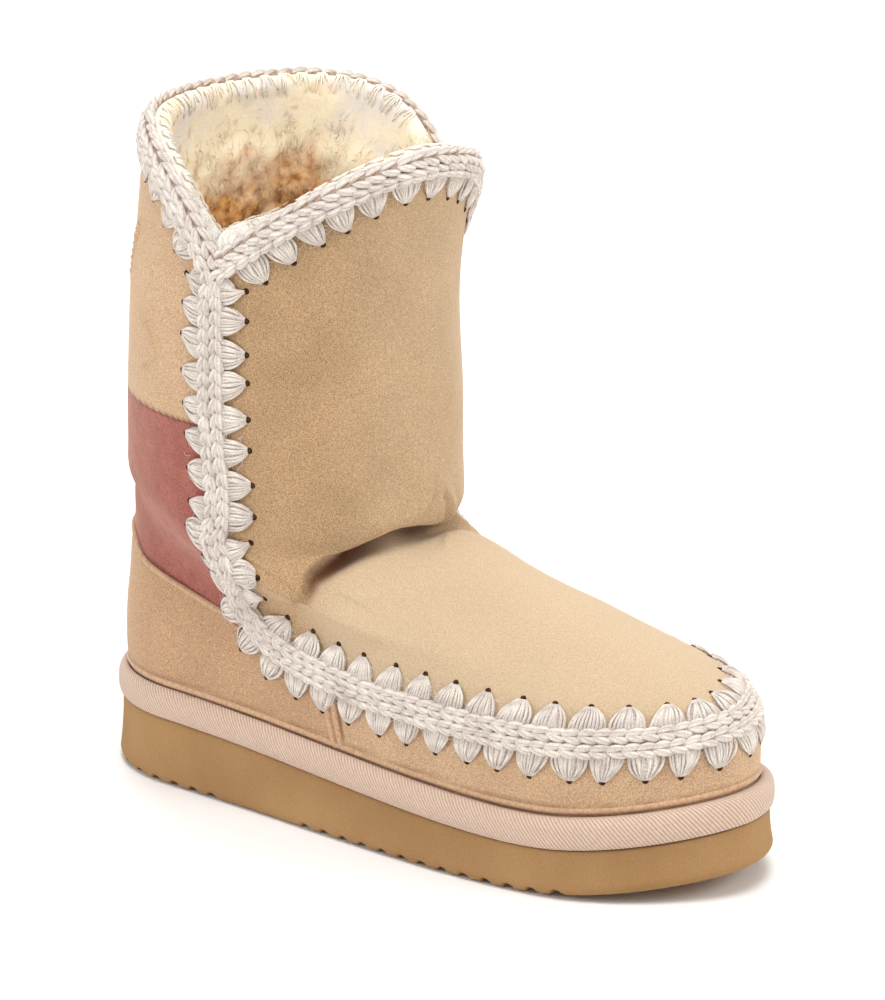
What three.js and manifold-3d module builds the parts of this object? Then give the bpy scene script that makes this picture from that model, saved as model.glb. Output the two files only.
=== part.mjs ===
// A sheepskin mukluk boot for the right foot, in millimetres, +Z up, toe towards -Y, outer side towards -X.
// The upper is a bent sleeve of tilted sections. Its function also carries the fleece, the welt band and the trims.
import * as THREE from "three";
import { mergeVertices } from "three/addons/utils/BufferGeometryUtils.js";
import Module from "manifold-3d";

const wasm = await Module();
wasm.setup();

// Outsole
const soleLength = 264;
const ballWidth = 96;
const heelThickness = 24;
const foreThickness = 16;
const toeSpring = 9;
const springStart = 0.72;
const heelLift = 1.6;
const heelLiftLength = 16;
const sideFlare = 1.2;
const edgeRound = 3;
const grooveRadius = 2.4;
const groovePitch = 9;
const heelTreadStart = 18;
const heelTreadCount = 6;
const foreTreadStart = 108;
const foreTreadCount = 13;

// Welt band
const bandHeight = 11;
const bandOverhang = 1.6;
const bandTopInset = 0.8;

// Upper, fleece and insole
const featherInset = 4.2;
const hideThickness = 2;
const pileDepth = 7;
const lockDepth = 1.1;
const rimDrop = 2;
const rimPile = 5;
const insoleThickness = 8;
const instepHeight = 100;
const footLean = 1.6;
const shaftBack = 10.5;
const shaftDepth = 119;
const shaftWidth = 108;
const collarHeight = 237;
const notchDrop = 43;
const frontDrop = 3;
const outerNotch = THREE.MathUtils.degToRad(97);
const innerNotch = THREE.MathUtils.degToRad(-119);
const frontPower = 1.9;
const backPower = 4;

// Crocheted trims
const chainWidth = 5.2;
const chainHeight = 4;
const fanPitch = 11.6;
const fanReach = 9.4;
const fanHeight = 2.3;
const fringeReach = 10;
const fringeHeight = 2;
const notchRound = 4;

// Clearances
const seatGap = 0.3;
const curvedGap = 0.5;
const trimGap = 0.8;
const ankleLift = 1.9;
const ankleRow = 6.3;
const ankleRows = 2.2;

// Mesh steps
const columns = 32;
const backColumns = 20;
const frontColumns = 14;
const fixedRows = [0, 0.9, 1.8, 2.6, 3.3, 4, 4.75, 5.5, 6.25, 7, 7.7, 8.4, 9.2, 10];
const collarRows = 3;
const normalStep = 0.01;
const walkStep = 1.5;

// Half widths of the sole's outline, as shares of the ball width, along its length from the heel
const outline = [
  { at: 0.0, outer: 0.37, inner: 0.37 },
  { at: 0.15, outer: 0.395, inner: 0.385 },
  { at: 0.3, outer: 0.425, inner: 0.37 },
  { at: 0.45, outer: 0.465, inner: 0.385 },
  { at: 0.6, outer: 0.497, inner: 0.44 },
  { at: 0.7, outer: 0.5, inner: 0.475 },
  { at: 0.8, outer: 0.475, inner: 0.49 },
  { at: 0.9, outer: 0.41, inner: 0.465 },
  { at: 1.0, outer: 0.32, inner: 0.41 },
];
const heelRound = { length: 0.16, power: 2.2 };
const toeRound = { length: 0.21, power: 2.4 };

// Foot sections: length as shares of the sole's, height of the instep's, half widths of the ball's
const footSections = [
  { back: 0.007, backUp: 0.4, front: 0.988, frontUp: 0.42, sag: 0, outer: 0.485, inner: 0.457, foot: 1, lean: 1.6 },
  { back: 0.006, backUp: 0.57, front: 0.982, frontUp: 0.54, sag: 0, outer: 0.48, inner: 0.452, foot: 0.95, lean: 1.65 },
  { back: 0.009, backUp: 0.7, front: 0.953, frontUp: 0.635, sag: 0, outer: 0.46, inner: 0.433, foot: 0.85, lean: 1.72 },
  { back: 0.012, backUp: 0.8, front: 0.888, frontUp: 0.715, sag: 0.03, outer: 0.455, inner: 0.425, foot: 0.65, lean: 1.77 },
  { back: 0.018, backUp: 0.88, front: 0.795, frontUp: 0.795, sag: 0.06, outer: 0.47, inner: 0.44, foot: 0.35, lean: 1.74 },
  { back: 0.022, backUp: 0.96, front: 0.69, frontUp: 0.87, sag: 0.1, outer: 0.49, inner: 0.46, foot: 0.1, lean: 1.6 },
  { back: 0.025, backUp: 1.05, front: 0.592, frontUp: 0.94, sag: 0.13, outer: 0.515, inner: 0.495, foot: 0, lean: 1.38 },
];

// Shaft sections: depth from the shaft's back, height between instep and collar, half widths of the shaft's
const shaftSections = [
  { back: -0.02, backUp: 0.13, front: 0.985, frontUp: 0.01, sag: 0.07, outer: 0.48, inner: 0.465, lean: 1.08 },
  { back: -0.02, backUp: 0.24, front: 1.015, frontUp: 0.09, sag: 0.06, outer: 0.49, inner: 0.475, lean: 1 },
  { back: -0.01, backUp: 0.43, front: 1.01, frontUp: 0.31, sag: 0.03, outer: 0.495, inner: 0.485, lean: 1 },
  { back: 0.015, backUp: 0.62, front: 0.995, frontUp: 0.6, sag: 0, outer: 0.5, inner: 0.49, lean: 1 },
  { back: 0.045, backUp: 0.81, front: 1.015, frontUp: 0.81, sag: 0, outer: 0.5, inner: 0.525, lean: 1 },
  { back: 0.085, backUp: 1.0, front: 1.06, frontUp: 1.0, sag: 0, outer: 0.5, inner: 0.57, lean: 1 },
];

// Seam between front and back panels, from the outer notch round the toe to the inner one: degrees from the heel
// over the outer side, and place among the sections
const seamRows = [
  { turn: 97, row: 11.22 },
  { turn: 96.4, row: 10.7 },
  { turn: 96.8, row: 9.76 },
  { turn: 98.6, row: 8.9 },
  { turn: 101, row: 7.8 },
  { turn: 100, row: 6.6 },
  { turn: 96.5, row: 5.3 },
  { turn: 93, row: 4.1 },
  { turn: 92.4, row: 3.15 },
  { turn: 95.7, row: 2.48 },
  { turn: 101.4, row: 2.23 },
  { turn: 109, row: 2.04 },
  { turn: 117, row: 2.0 },
  { turn: 124.4, row: 1.98 },
  { turn: 132, row: 1.97 },
  { turn: 139, row: 2.0 },
  { turn: 146, row: 2.05 },
  { turn: 153, row: 2.13 },
  { turn: 162, row: 2.25 },
  { turn: 171, row: 2.4 },
  { turn: 180, row: 2.48 },
  { turn: 189, row: 2.5 },
  { turn: 198, row: 2.43 },
  { turn: 207, row: 2.32 },
  { turn: 214, row: 2.22 },
  { turn: 221, row: 2.15 },
  { turn: 228, row: 2.1 },
  { turn: 235, row: 2.1 },
  { turn: 242.6, row: 2.14 },
  { turn: 246.4, row: 2.3 },
  { turn: 249.7, row: 2.59 },
  { turn: 252, row: 3.07 },
  { turn: 251.5, row: 4.0 },
  { turn: 247.2, row: 5.67 },
  { turn: 239.5, row: 7.5 },
  { turn: 237, row: 8.28 },
  { turn: 240, row: 8.93 },
  { turn: 240.5, row: 9.76 },
  { turn: 240.5, row: 10.7 },
  { turn: 241, row: 11.22 },
].map((r, at) => ({ ...r, at }));

const notchHeight = collarHeight - notchDrop;

// A smooth value of one column at a place along the rows.
function smooth(rows, at, column) {
  const last = rows.length - 1;
  const k = Math.max(0, Math.min(last - 1, rows.findIndex((r) => r.at > at) - 1));
  const i = at >= rows[last].at ? last - 1 : k;
  const [a, b] = [rows[i], rows[i + 1]];
  const slope = (j) => {
    const [p, q] = [rows[Math.max(0, j - 1)], rows[Math.min(last, j + 1)]];
    return (q[column] - p[column]) / (q.at - p.at);
  };
  const span = b.at - a.at;
  const t = (at - a.at) / span;
  const [t2, t3] = [t * t, t * t * t];
  return (
    (2 * t3 - 3 * t2 + 1) * a[column] +
    (t3 - 2 * t2 + t) * span * slope(i) +
    (3 * t2 - 2 * t3) * b[column] +
    (t3 - t2) * span * slope(i + 1)
  );
}

// Rounding of a closed outline's end: 0 at the tip and 1 past the rounded length.
function roundEnd(share, length, power) {
  return share >= length ? 1 : Math.sqrt(Math.max(0, 1 - (1 - share / length) ** power));
}

// Half width of the sole's outline on one side, as a share of the ball width.
function outlineShare(share, side) {
  const heel = roundEnd(share, heelRound.length, heelRound.power);
  const toe = roundEnd(1 - share, toeRound.length, toeRound.power);
  return smooth(outline, share, side) * heel * toe;
}

const ballShare = { outer: 0.5, inner: 0.49 };

// Heights of the sole's faces at a distance from the heel.
function soleBottom(s) {
  const share = Math.max(0, s / soleLength - springStart) / (1 - springStart);
  const lift = Math.max(0, 1 - s / heelLiftLength);
  return toeSpring * share * share + heelLift * lift * lift;
}

function soleTop(s) {
  const share = THREE.MathUtils.smoothstep(s, 0.1 * soleLength, 0.85 * soleLength);
  const spring = soleBottom(s) - heelLift * Math.max(0, 1 - s / heelLiftLength) ** 2;
  return spring + heelThickness + (foreThickness - heelThickness) * share;
}

// Point of the sole's outline at an angle from the heel, moved outwards by an offset.
function outlinePoint(angle, offset) {
  const at = (a) => {
    const share = ((1 - Math.cos(a)) / 2) ** footLean;
    const outer = Math.sin(a) >= 0;
    const half = outlineShare(share, outer ? "outer" : "inner") * ballWidth;
    return new THREE.Vector2(outer ? -half : half, -share * soleLength);
  };
  const along = at(angle + normalStep).sub(at(angle - normalStep)).normalize();
  return at(angle).add(new THREE.Vector2(along.y, -along.x).multiplyScalar(offset));
}

// All sections in millimetres, from the feather edge up.
function sectionRows() {
  const feather = {
    back: featherInset,
    backUp: soleTop(featherInset) + seatGap,
    front: soleLength - featherInset,
    frontUp: soleTop(soleLength - featherInset) + seatGap,
    outer: ballShare.outer * ballWidth - featherInset,
    inner: ballShare.inner * ballWidth - featherInset,
    sag: 0,
    foot: 1,
    lean: footLean,
  };
  const foot = footSections.map((r) => ({
    back: r.back * soleLength,
    backUp: r.backUp * instepHeight,
    front: r.front * soleLength,
    frontUp: r.frontUp * instepHeight,
    outer: r.outer * ballWidth,
    inner: r.inner * ballWidth,
    sag: r.sag * instepHeight,
    foot: r.foot,
    lean: r.lean,
  }));
  const rise = collarHeight - instepHeight;
  const shaft = shaftSections.map((r) => ({
    back: shaftBack + r.back * shaftDepth,
    backUp: instepHeight + r.backUp * rise,
    front: shaftBack + r.front * shaftDepth,
    frontUp: instepHeight + r.frontUp * rise,
    outer: r.outer * shaftWidth,
    inner: r.inner * shaftWidth,
    sag: r.sag * rise,
    foot: 0,
    lean: r.lean,
  }));
  return [feather, ...foot, ...shaft].map((r, at) => ({ ...r, at }));
}
const sections = sectionRows();
const topSection = sections.length - 1;

// Outer face of the hide. The angle runs from the heel over the outer side, and t over the sections.
function hidePoint(angle, t) {
  const f = ((1 - Math.cos(angle)) / 2) ** smooth(sections, t, "lean");
  const outer = Math.sin(angle) >= 0;
  const side = outer ? "outer" : "inner";
  const [back, front] = [smooth(sections, t, "back"), smooth(sections, t, "front")];
  const [backUp, frontUp] = [smooth(sections, t, "backUp"), smooth(sections, t, "frontUp")];
  const foot = THREE.MathUtils.clamp(smooth(sections, t, "foot"), 0, 1);
  const footWidth = outlineShare(f, side) / ballShare[side];
  const oval = 2 * Math.sqrt(Math.max(0, f * (1 - f)));
  const half = smooth(sections, t, side) * (foot * footWidth + (1 - foot) * oval);
  const up = backUp + (frontUp - backUp) * f - smooth(sections, t, "sag") * Math.sin(Math.PI * f * f);
  return new THREE.Vector3(outer ? -half : half, -(back + (front - back) * f), up);
}

function hideNormal(angle, t) {
  const around = hidePoint(angle + normalStep, t).sub(hidePoint(angle - normalStep, t));
  const [low, high] = [Math.max(0, t - normalStep), Math.min(topSection, t + normalStep)];
  const up = hidePoint(angle, high).sub(hidePoint(angle, low));
  return around.cross(up).normalize();
}

// Point at a distance out from the hide's outer face.
function offHide(angle, t, out) {
  return hidePoint(angle, t).addScaledVector(hideNormal(angle, t), out);
}

// Section number at which a column reaches a height.
function sectionAt(angle, height) {
  let [low, high] = [0, topSection];
  for (let i = 0; i < 40; i += 1) {
    const t = (low + high) / 2;
    if (hidePoint(angle, t).z < height) low = t;
    else high = t;
  }
  return (low + high) / 2;
}

// Height of the collar above its notches: each panel is high in its middle and falls to the two seams.
function collarRise(angle) {
  const turned = angle > Math.PI + innerNotch / 2 + outerNotch / 2 ? angle - 2 * Math.PI : angle;
  const behind = turned < outerNotch && turned > innerNotch;
  const middle = (outerNotch + innerNotch) / 2;
  const half = behind ? (outerNotch - innerNotch) / 2 : Math.PI - (outerNotch - innerNotch) / 2;
  const away = Math.abs(Math.atan2(Math.sin(angle - middle), Math.cos(angle - middle)));
  const share = Math.min(1, (behind ? away : Math.PI - away) / half);
  return (notchDrop - (behind ? 0 : frontDrop)) * (1 - share ** (behind ? backPower : frontPower));
}

function collarUp(angle) {
  return notchHeight + collarRise(angle);
}

// Sections of one column of the mesh, from the feather edge to the collar.
function columnRows(angle, belowCollar) {
  const top = sectionAt(angle, collarUp(angle));
  const rows = [...fixedRows];
  const start = rows[rows.length - 1];
  for (let i = 1; i <= collarRows; i += 1) rows.push(start + ((top - start) * i) / collarRows);
  if (belowCollar > 0) rows[rows.length - 1] = sectionAt(angle, collarUp(angle) - belowCollar);
  return rows;
}

// Angles of the wall's columns, with one on each notch.
const wallAngles = [
  ...Array.from({ length: backColumns }, (_, i) => innerNotch + ((outerNotch - innerNotch) * i) / backColumns),
  ...Array.from({ length: frontColumns }, (_, i) => outerNotch + ((innerNotch + 2 * Math.PI - outerNotch) * i) / frontColumns),
];

function anglesOf(count) {
  return Array.from({ length: count }, (_, i) => (2 * Math.PI * i) / count);
}

// Closed solid between two grids of points, grid[k][i], that is closed along k or capped at its ends.
function slab(top, under, closed) {
  const [along, across] = [top.length, top[0].length];
  const points = [...top.flat(), ...under.flat()];
  const id = (k, i, below) => (below ? along * across : 0) + (k % along) * across + i;
  const faces = [];
  const quad = (a, b, c, d) => faces.push(a, b, c, a, c, d);
  const steps = closed ? along : along - 1;
  for (let k = 0; k < steps; k += 1) {
    for (let i = 0; i < across - 1; i += 1) {
      quad(id(k, i), id(k + 1, i), id(k + 1, i + 1), id(k, i + 1));
      quad(id(k, i, true), id(k, i + 1, true), id(k + 1, i + 1, true), id(k + 1, i, true));
    }
    const end = across - 1;
    quad(id(k, 0), id(k, 0, true), id(k + 1, 0, true), id(k + 1, 0));
    quad(id(k, end), id(k + 1, end), id(k + 1, end, true), id(k, end, true));
  }
  for (let i = 0; !closed && i < across - 1; i += 1) {
    const end = along - 1;
    quad(id(0, i), id(0, i + 1), id(0, i + 1, true), id(0, i, true));
    quad(id(end, i), id(end, i, true), id(end, i + 1, true), id(end, i + 1));
  }
  return geometryOf(points, faces);
}

// Closed solid of stacked loops, capped by strips across from side to side.
function stack(loops) {
  const count = loops[0].length;
  const faces = [];
  const quad = (a, b, c, d) => faces.push(a, b, c, a, c, d);
  for (let k = 0; k < (loops.length - 1) * count; k += count) {
    for (let i = 0; i < count; i += 1) {
      const next = (i + 1) % count;
      quad(k + i, k + next, k + count + next, k + count + i);
    }
  }
  const top = (loops.length - 1) * count;
  const cap = (a, b, c) => faces.push(a, c, b, top + a, top + b, top + c);
  const middle = count / 2;
  cap(0, 1, count - 1);
  for (let i = 1; i < middle - 1; i += 1) {
    cap(i, i + 1, count - i - 1);
    cap(i, count - i - 1, count - i);
  }
  cap(middle - 1, middle, middle + 1);
  return geometryOf(loops.flat(), faces);
}

function geometryOf(points, faces) {
  const positions = new Float32Array(points.flatMap((p) => [p.x, p.y, p.z]));
  const geometry = new THREE.BufferGeometry();
  geometry.setAttribute("position", new THREE.BufferAttribute(positions, 3));
  geometry.setIndex(faces);
  return geometry;
}

function solidOf(geometry) {
  const bare = geometry.clone();
  bare.deleteAttribute("normal");
  bare.deleteAttribute("uv");
  const merged = mergeVertices(bare, 1e-4);
  return new wasm.Manifold(
    new wasm.Mesh({
      numProp: 3,
      vertProperties: merged.attributes.position.array,
      triVerts: new Uint32Array(merged.index.array),
    }),
  );
}

function geometryFrom(solid) {
  const { vertProperties, triVerts } = solid.getMesh();
  const geometry = new THREE.BufferGeometry();
  geometry.setAttribute("position", new THREE.BufferAttribute(new Float32Array(vertProperties), 3));
  geometry.setIndex(new THREE.BufferAttribute(new Uint32Array(triVerts), 1));
  return geometry;
}

function outsole() {
  const levels = [
    { offset: -edgeRound, up: (s) => soleBottom(s) },
    { offset: sideFlare - 0.3 * edgeRound, up: (s) => soleBottom(s) + 0.35 * edgeRound },
    { offset: sideFlare, up: (s) => soleBottom(s) + edgeRound },
    { offset: 0, up: (s) => soleTop(s) },
  ];
  const loops = levels.map((level) =>
    anglesOf(columns * 2).map((angle) => {
      const p = outlinePoint(angle, level.offset);
      const s = THREE.MathUtils.clamp(-p.y, 0, soleLength);
      return new THREE.Vector3(p.x, p.y, level.up(s));
    }),
  );
  const body = solidOf(stack(loops));
  const groove = new THREE.CylinderGeometry(grooveRadius, grooveRadius, ballWidth * 1.4, 8).rotateZ(Math.PI / 2);
  const places = [
    ...Array.from({ length: heelTreadCount }, (_, i) => heelTreadStart + i * groovePitch),
    ...Array.from({ length: foreTreadCount }, (_, i) => foreTreadStart + i * groovePitch),
  ];
  const cuts = places.map((s) => solidOf(groove.clone().translate(0, -s, soleBottom(s))));
  return geometryFrom(body.subtract(wasm.Manifold.union(cuts)));
}

function weltBand() {
  const outer = [];
  const inner = [];
  for (const angle of anglesOf(columns * 2)) {
    const rim = outlinePoint(angle, bandOverhang);
    const low = outlinePoint(angle, 0.4);
    const top = outlinePoint(angle, -bandTopInset);
    const s = THREE.MathUtils.clamp(-rim.y, 0, soleLength);
    const foot = soleTop(s) + seatGap;
    outer.push([
      new THREE.Vector3(low.x, low.y, foot),
      new THREE.Vector3(rim.x, rim.y, foot + 0.3 * bandHeight),
      new THREE.Vector3(rim.x, rim.y, foot + 0.6 * bandHeight),
      new THREE.Vector3(top.x, top.y, foot + bandHeight),
    ]);
    const wall = (up) => {
      const p = offHide(angle, sectionAt(angle, Math.max(up, hidePoint(angle, 0).z)), curvedGap);
      return new THREE.Vector3(p.x, p.y, up);
    };
    inner.push([0, 0.3, 0.6, 0.92].map((share) => wall(foot + share * bandHeight)));
  }
  return slab(outer, inner, true);
}

function hideWall() {
  const grid = (out) => wallAngles.map((angle) => columnRows(angle, 0).map((t) => offHide(angle, t, out)));
  return slab(grid(0), grid(-hideThickness), true);
}

// Deep fleece behind the hide, with locks standing in and out of its inner face and a thin edge at the rim.
function fleece() {
  const skin = hideThickness + curvedGap;
  const grid = (out) =>
    wallAngles.map((angle, k) => {
      const rows = columnRows(angle, rimDrop);
      return rows.map((t, i) => offHide(angle, t, -skin - out(k, i, rows.length - 1)));
    });
  const pile = (k, i, last) => {
    if (i >= last - 1) return rimPile;
    return pileDepth + ((k + i) % 2 ? lockDepth : -lockDepth);
  };
  return slab(grid(() => 0), grid(pile), true);
}

function insole() {
  const inset = featherInset + hideThickness + curvedGap + pileDepth + 2 * lockDepth + 1.5;
  const level = (up) =>
    anglesOf(columns).map((angle) => {
      const p = outlinePoint(angle, -inset);
      return new THREE.Vector3(p.x, p.y, soleTop(-p.y) + seatGap + up);
    });
  return stack([level(0), level(insoleThickness - 1.5), level(insoleThickness)]);
}

// Evenly spaced nodes of a path on the hide, each with its place and a step's length to its neighbours.
function resample(nodes, pitch, closed) {
  const places = nodes.map((n) => hidePoint(n.angle, n.t));
  const lengths = [0];
  for (let i = 1; i < nodes.length; i += 1) lengths.push(lengths[i - 1] + places[i].distanceTo(places[i - 1]));
  const total = lengths[lengths.length - 1];
  const count = 2 * Math.round(total / pitch);
  return Array.from({ length: closed ? count : count + 1 }, (_, k) => {
    const at = (total * k) / count;
    const after = lengths.findIndex((v) => v > at);
    const i = after < 0 ? nodes.length - 2 : Math.max(0, after - 1);
    const share = (at - lengths[i]) / (lengths[i + 1] - lengths[i]);
    const mix = (key) => nodes[i][key] + (nodes[i + 1][key] - nodes[i][key]) * share;
    return { angle: mix("angle"), t: mix("t"), at, total };
  });
}

// Node reached from a node by going a distance over the hide in a direction.
function walk(node, heading, distance) {
  let { angle, t } = node;
  const steps = Math.max(1, Math.ceil(Math.abs(distance) / walkStep));
  for (let i = 0; i < steps; i += 1) {
    const here = hidePoint(angle, t);
    const around = hidePoint(angle + normalStep, t).sub(here).divideScalar(normalStep);
    const rise = hidePoint(angle, t + normalStep).sub(here).divideScalar(normalStep);
    const [aa, ar, rr] = [around.dot(around), around.dot(rise), rise.dot(rise)];
    const [ha, hr] = [heading.dot(around), heading.dot(rise)];
    const scale = distance / steps / (aa * rr - ar * ar);
    angle += THREE.MathUtils.clamp((ha * rr - hr * ar) * scale, -0.12, 0.12);
    t = THREE.MathUtils.clamp(t + (hr * aa - ha * ar) * scale, 0, topSection);
  }
  return { angle, t };
}

// Unit direction along a path at one of its nodes.
function pathHeading(path, k, closed) {
  const n = path.length;
  const [a, b] = closed ? [path[(k + n - 1) % n], path[(k + 1) % n]] : [path[Math.max(0, k - 1)], path[Math.min(n - 1, k + 1)]];
  return hidePoint(b.angle, b.t).sub(hidePoint(a.angle, a.t)).normalize();
}

// Two chains laid side by side over the seam, with fans pointing away from it on both sides.
function seamTrim() {
  const fine = Array.from({ length: 15 * seamRows.length }, (_, i) => {
    const at = (i / (15 * seamRows.length - 1)) * (seamRows.length - 1);
    const angle = THREE.MathUtils.degToRad(smooth(seamRows, at, "turn"));
    return { angle, t: smooth(seamRows, at, "row") };
  });
  const path = resample(fine, fanPitch, false);
  const top = [];
  const under = [];
  path.forEach((node, k) => {
    const across = hideNormal(node.angle, node.t).cross(pathHeading(path, k, false)).normalize();
    const reach = chainWidth + (k % 2 ? fanReach : 0.3 * fanReach);
    const profile = [
      { d: -reach, out: 0.9 },
      { d: -chainWidth - 0.25 * fanReach, out: fanHeight },
      { d: -0.5 * chainWidth, out: chainHeight },
      { d: 0, out: 0.7 * chainHeight },
      { d: 0.5 * chainWidth, out: chainHeight },
      { d: chainWidth + 0.25 * fanReach, out: fanHeight },
      { d: reach, out: 0.9 },
    ];
    const line = (out) =>
      profile.map((p) => {
        const place = walk(node, across, p.d);
        const lift = ankleLift * Math.exp(-(((place.t - ankleRow) / ankleRows) ** 2));
        return offHide(place.angle, place.t, trimGap + lift + out(p));
      });
    top.push(line((p) => p.out));
    under.push(line(() => 0));
  });
  return slab(top, under, false);
}

// Chain over the collar's rim, with fans outside it and a fringe inside it.
function collarTrim() {
  const fine = anglesOf(360).map((angle) => {
    const height = notchHeight + Math.hypot(collarRise(angle), notchRound);
    return { angle, t: sectionAt(angle, height) };
  });
  const path = resample([...fine, { ...fine[0], angle: 2 * Math.PI }], fanPitch, true);
  const rim = hideThickness + curvedGap + rimPile;
  const top = [];
  const under = [];
  path.forEach((node, k) => {
    const normal = hideNormal(node.angle, node.t);
    const heading = pathHeading(path, k, true);
    const up = normal.clone().cross(heading).normalize();
    const apart = (notch) => Math.abs(Math.atan2(Math.sin(node.angle - notch), Math.cos(node.angle - notch)));
    const near = Math.min(apart(outerNotch), apart(innerNotch)) * 0.5 * shaftWidth;
    const full = THREE.MathUtils.smoothstep(near, 3, 10);
    const reach = chainWidth + full * (k % 2 ? fanReach : 0.3 * fanReach) + 0.4;
    const fringe = k % 2 ? fringeReach : 0.5 * fringeReach;
    const outside = (d, out) => {
      const place = walk(node, up, -d);
      return offHide(place.angle, place.t, out);
    };
    const over = (rise, out) => hidePoint(node.angle, node.t).addScaledVector(up, rise).addScaledVector(normal, out);
    top.push([
      outside(reach, trimGap + 0.9),
      outside(chainWidth + 0.25 * full * fanReach, trimGap + fanHeight),
      outside(0.5 * chainWidth, trimGap + chainHeight),
      over(0.3 * chainHeight, trimGap + 0.8 * chainHeight),
      over(trimGap + 0.8 * chainHeight, -0.5 * rim),
      over(0.2 * chainHeight, -rim - trimGap - fringeHeight),
      over(-fringe, -rim - trimGap - 0.7 * fringeHeight),
    ]);
    under.push([
      outside(reach, trimGap),
      outside(chainWidth + 0.25 * full * fanReach, trimGap),
      outside(0.5 * chainWidth, trimGap),
      over(trimGap, trimGap),
      over(trimGap, -0.5 * rim),
      over(trimGap - 0.5 * rimDrop, -rim - trimGap),
      over(-fringe, -rim - trimGap),
    ]);
  });
  return slab(top, under, true);
}

const group = new THREE.Group();
function add(name, geometry, colour, roughness) {
  const material = new THREE.MeshStandardMaterial({ color: colour, roughness, metalness: 0 });
  const mesh = new THREE.Mesh(geometry, material);
  mesh.name = name;
  group.add(mesh);
}

add("outsole", outsole(), 0xb8935f, 0.7);
add("welt_band", weltBand(), 0xe3c3a8, 0.85);
add("upper", hideWall(), 0xd3b48a, 0.95);
add("fleece_lining", fleece(), 0xeee0c4, 1);
add("insole", insole(), 0xe6d6b8, 1);
add("seam_trim", seamTrim(), 0xe2dad2, 1);
add("collar_trim", collarTrim(), 0xe2dad2, 1);

const box = new THREE.Box3().setFromObject(group);
const centre = box.getCenter(new THREE.Vector3());
group.position.set(-centre.x, -centre.y, -box.min.z);

export default group;
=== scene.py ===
"""A right-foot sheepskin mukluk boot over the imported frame: suede, wool, crochet, welt and foam sole."""
# Lengths are in millimetres until a mesh is made. Toe towards -Y, outer side towards -X, +Z up.
import math

import bpy
import numpy as np
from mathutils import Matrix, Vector


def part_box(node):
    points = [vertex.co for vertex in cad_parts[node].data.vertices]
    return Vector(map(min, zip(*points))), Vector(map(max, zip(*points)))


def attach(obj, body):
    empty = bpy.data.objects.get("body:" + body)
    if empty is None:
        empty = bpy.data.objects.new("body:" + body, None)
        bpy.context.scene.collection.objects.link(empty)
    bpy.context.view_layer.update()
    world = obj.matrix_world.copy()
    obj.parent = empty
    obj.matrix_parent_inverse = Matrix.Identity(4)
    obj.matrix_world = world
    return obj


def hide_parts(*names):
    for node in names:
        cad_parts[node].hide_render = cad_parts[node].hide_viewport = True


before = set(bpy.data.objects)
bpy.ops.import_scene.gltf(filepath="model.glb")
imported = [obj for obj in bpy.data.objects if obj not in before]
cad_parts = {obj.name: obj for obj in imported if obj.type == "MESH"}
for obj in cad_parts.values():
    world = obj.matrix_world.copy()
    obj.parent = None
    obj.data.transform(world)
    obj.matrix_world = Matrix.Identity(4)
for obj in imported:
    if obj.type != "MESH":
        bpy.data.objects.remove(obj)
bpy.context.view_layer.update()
chance = np.random.default_rng(7)

# Sizes of the frame
SOLE_LENGTH = 264
BALL_WIDTH = 96
HEEL_THICKNESS = 24
FORE_THICKNESS = 16
TOE_SPRING = 9
SPRING_START = 0.72
HEEL_LIFT = 1.6
HEEL_LIFT_LENGTH = 16
SIDE_FLARE = 1.2
EDGE_ROUND = 3
GROOVE_RADIUS = 2.4
GROOVE_PITCH = 9
HEEL_TREAD = (18, 6)
FORE_TREAD = (108, 13)
BAND_HEIGHT = 11
BAND_OVERHANG = 1.6
SEAM_OVER_BAND = 1.6
FEATHER_INSET = 4.2
HIDE_THICKNESS = 2
PILE_GAP = 0.5
PILE_DEPTH = 7
RIM_PILE = 5
NOTCH_PUFF = 6.5
INSOLE_THICKNESS = 8
INSOLE_GAP = 3.7
INSTEP_HEIGHT = 100
FOOT_LEAN = 1.6
SHAFT_BACK = 10.5
SHAFT_DEPTH = 119
SHAFT_WIDTH = 108
COLLAR_HEIGHT = 237
NOTCH_DROP = 43
FRONT_DROP = 3
OUTER_NOTCH = math.radians(97)
INNER_NOTCH = math.radians(-119)
FRONT_POWER = 1.9
BACK_POWER = 4
NOTCH_ROUND = 4
SEAT_GAP = 0.3
BALL_SHARE = {"outer": 0.5, "inner": 0.49}
HEEL_ROUND = (0.16, 2.2)
TOE_ROUND = (0.21, 2.4)

# Crochet
CHAIN_WIDTH = 5.2
STITCH_PITCH = 5.2
COLLAR_DROP = 2.3
SHAFT_FAN_PITCH = 11.6
FOOT_FAN_PITCH = 12.9
FAN_REACH = 7.6
FAN_ROOM = 12
RIM_CHAIN = -2.0
FRINGE_PITCH = 7.4
FRINGE_GAP = 24
FUZZ_COUNT = 1000
FUZZ_SPREAD = 9
FUZZ_RADIUS = 0.08

# Lean of the fans on the vamp and on the shaft, and how much lean and room vary. The vamp's seam and the
# foot's fans end at these sections, and the collar's fans, which have no lean, start at the last.
VAMP_LEAN = {1: 0.14, -1: -0.08}
SHAFT_LEAN = -0.1
LEAN_PLAY = 0.045
ROOM_PLAY = 0.05
VAMP_TOP = 4
FOOT_TOP = 5
COLLAR_START = 11.5

# Columns and rows of the grids
SUEDE_GRID = (460, 210)
FLEECE_GRID = (280, 130)
ROLL_ROWS = 26
ROLL_DROP = 13
INSOLE_COLUMNS = 240
OUTSOLE_COLUMNS = 900
WELT_COLUMNS = 600
NOTCH_CURLS = 700

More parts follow.
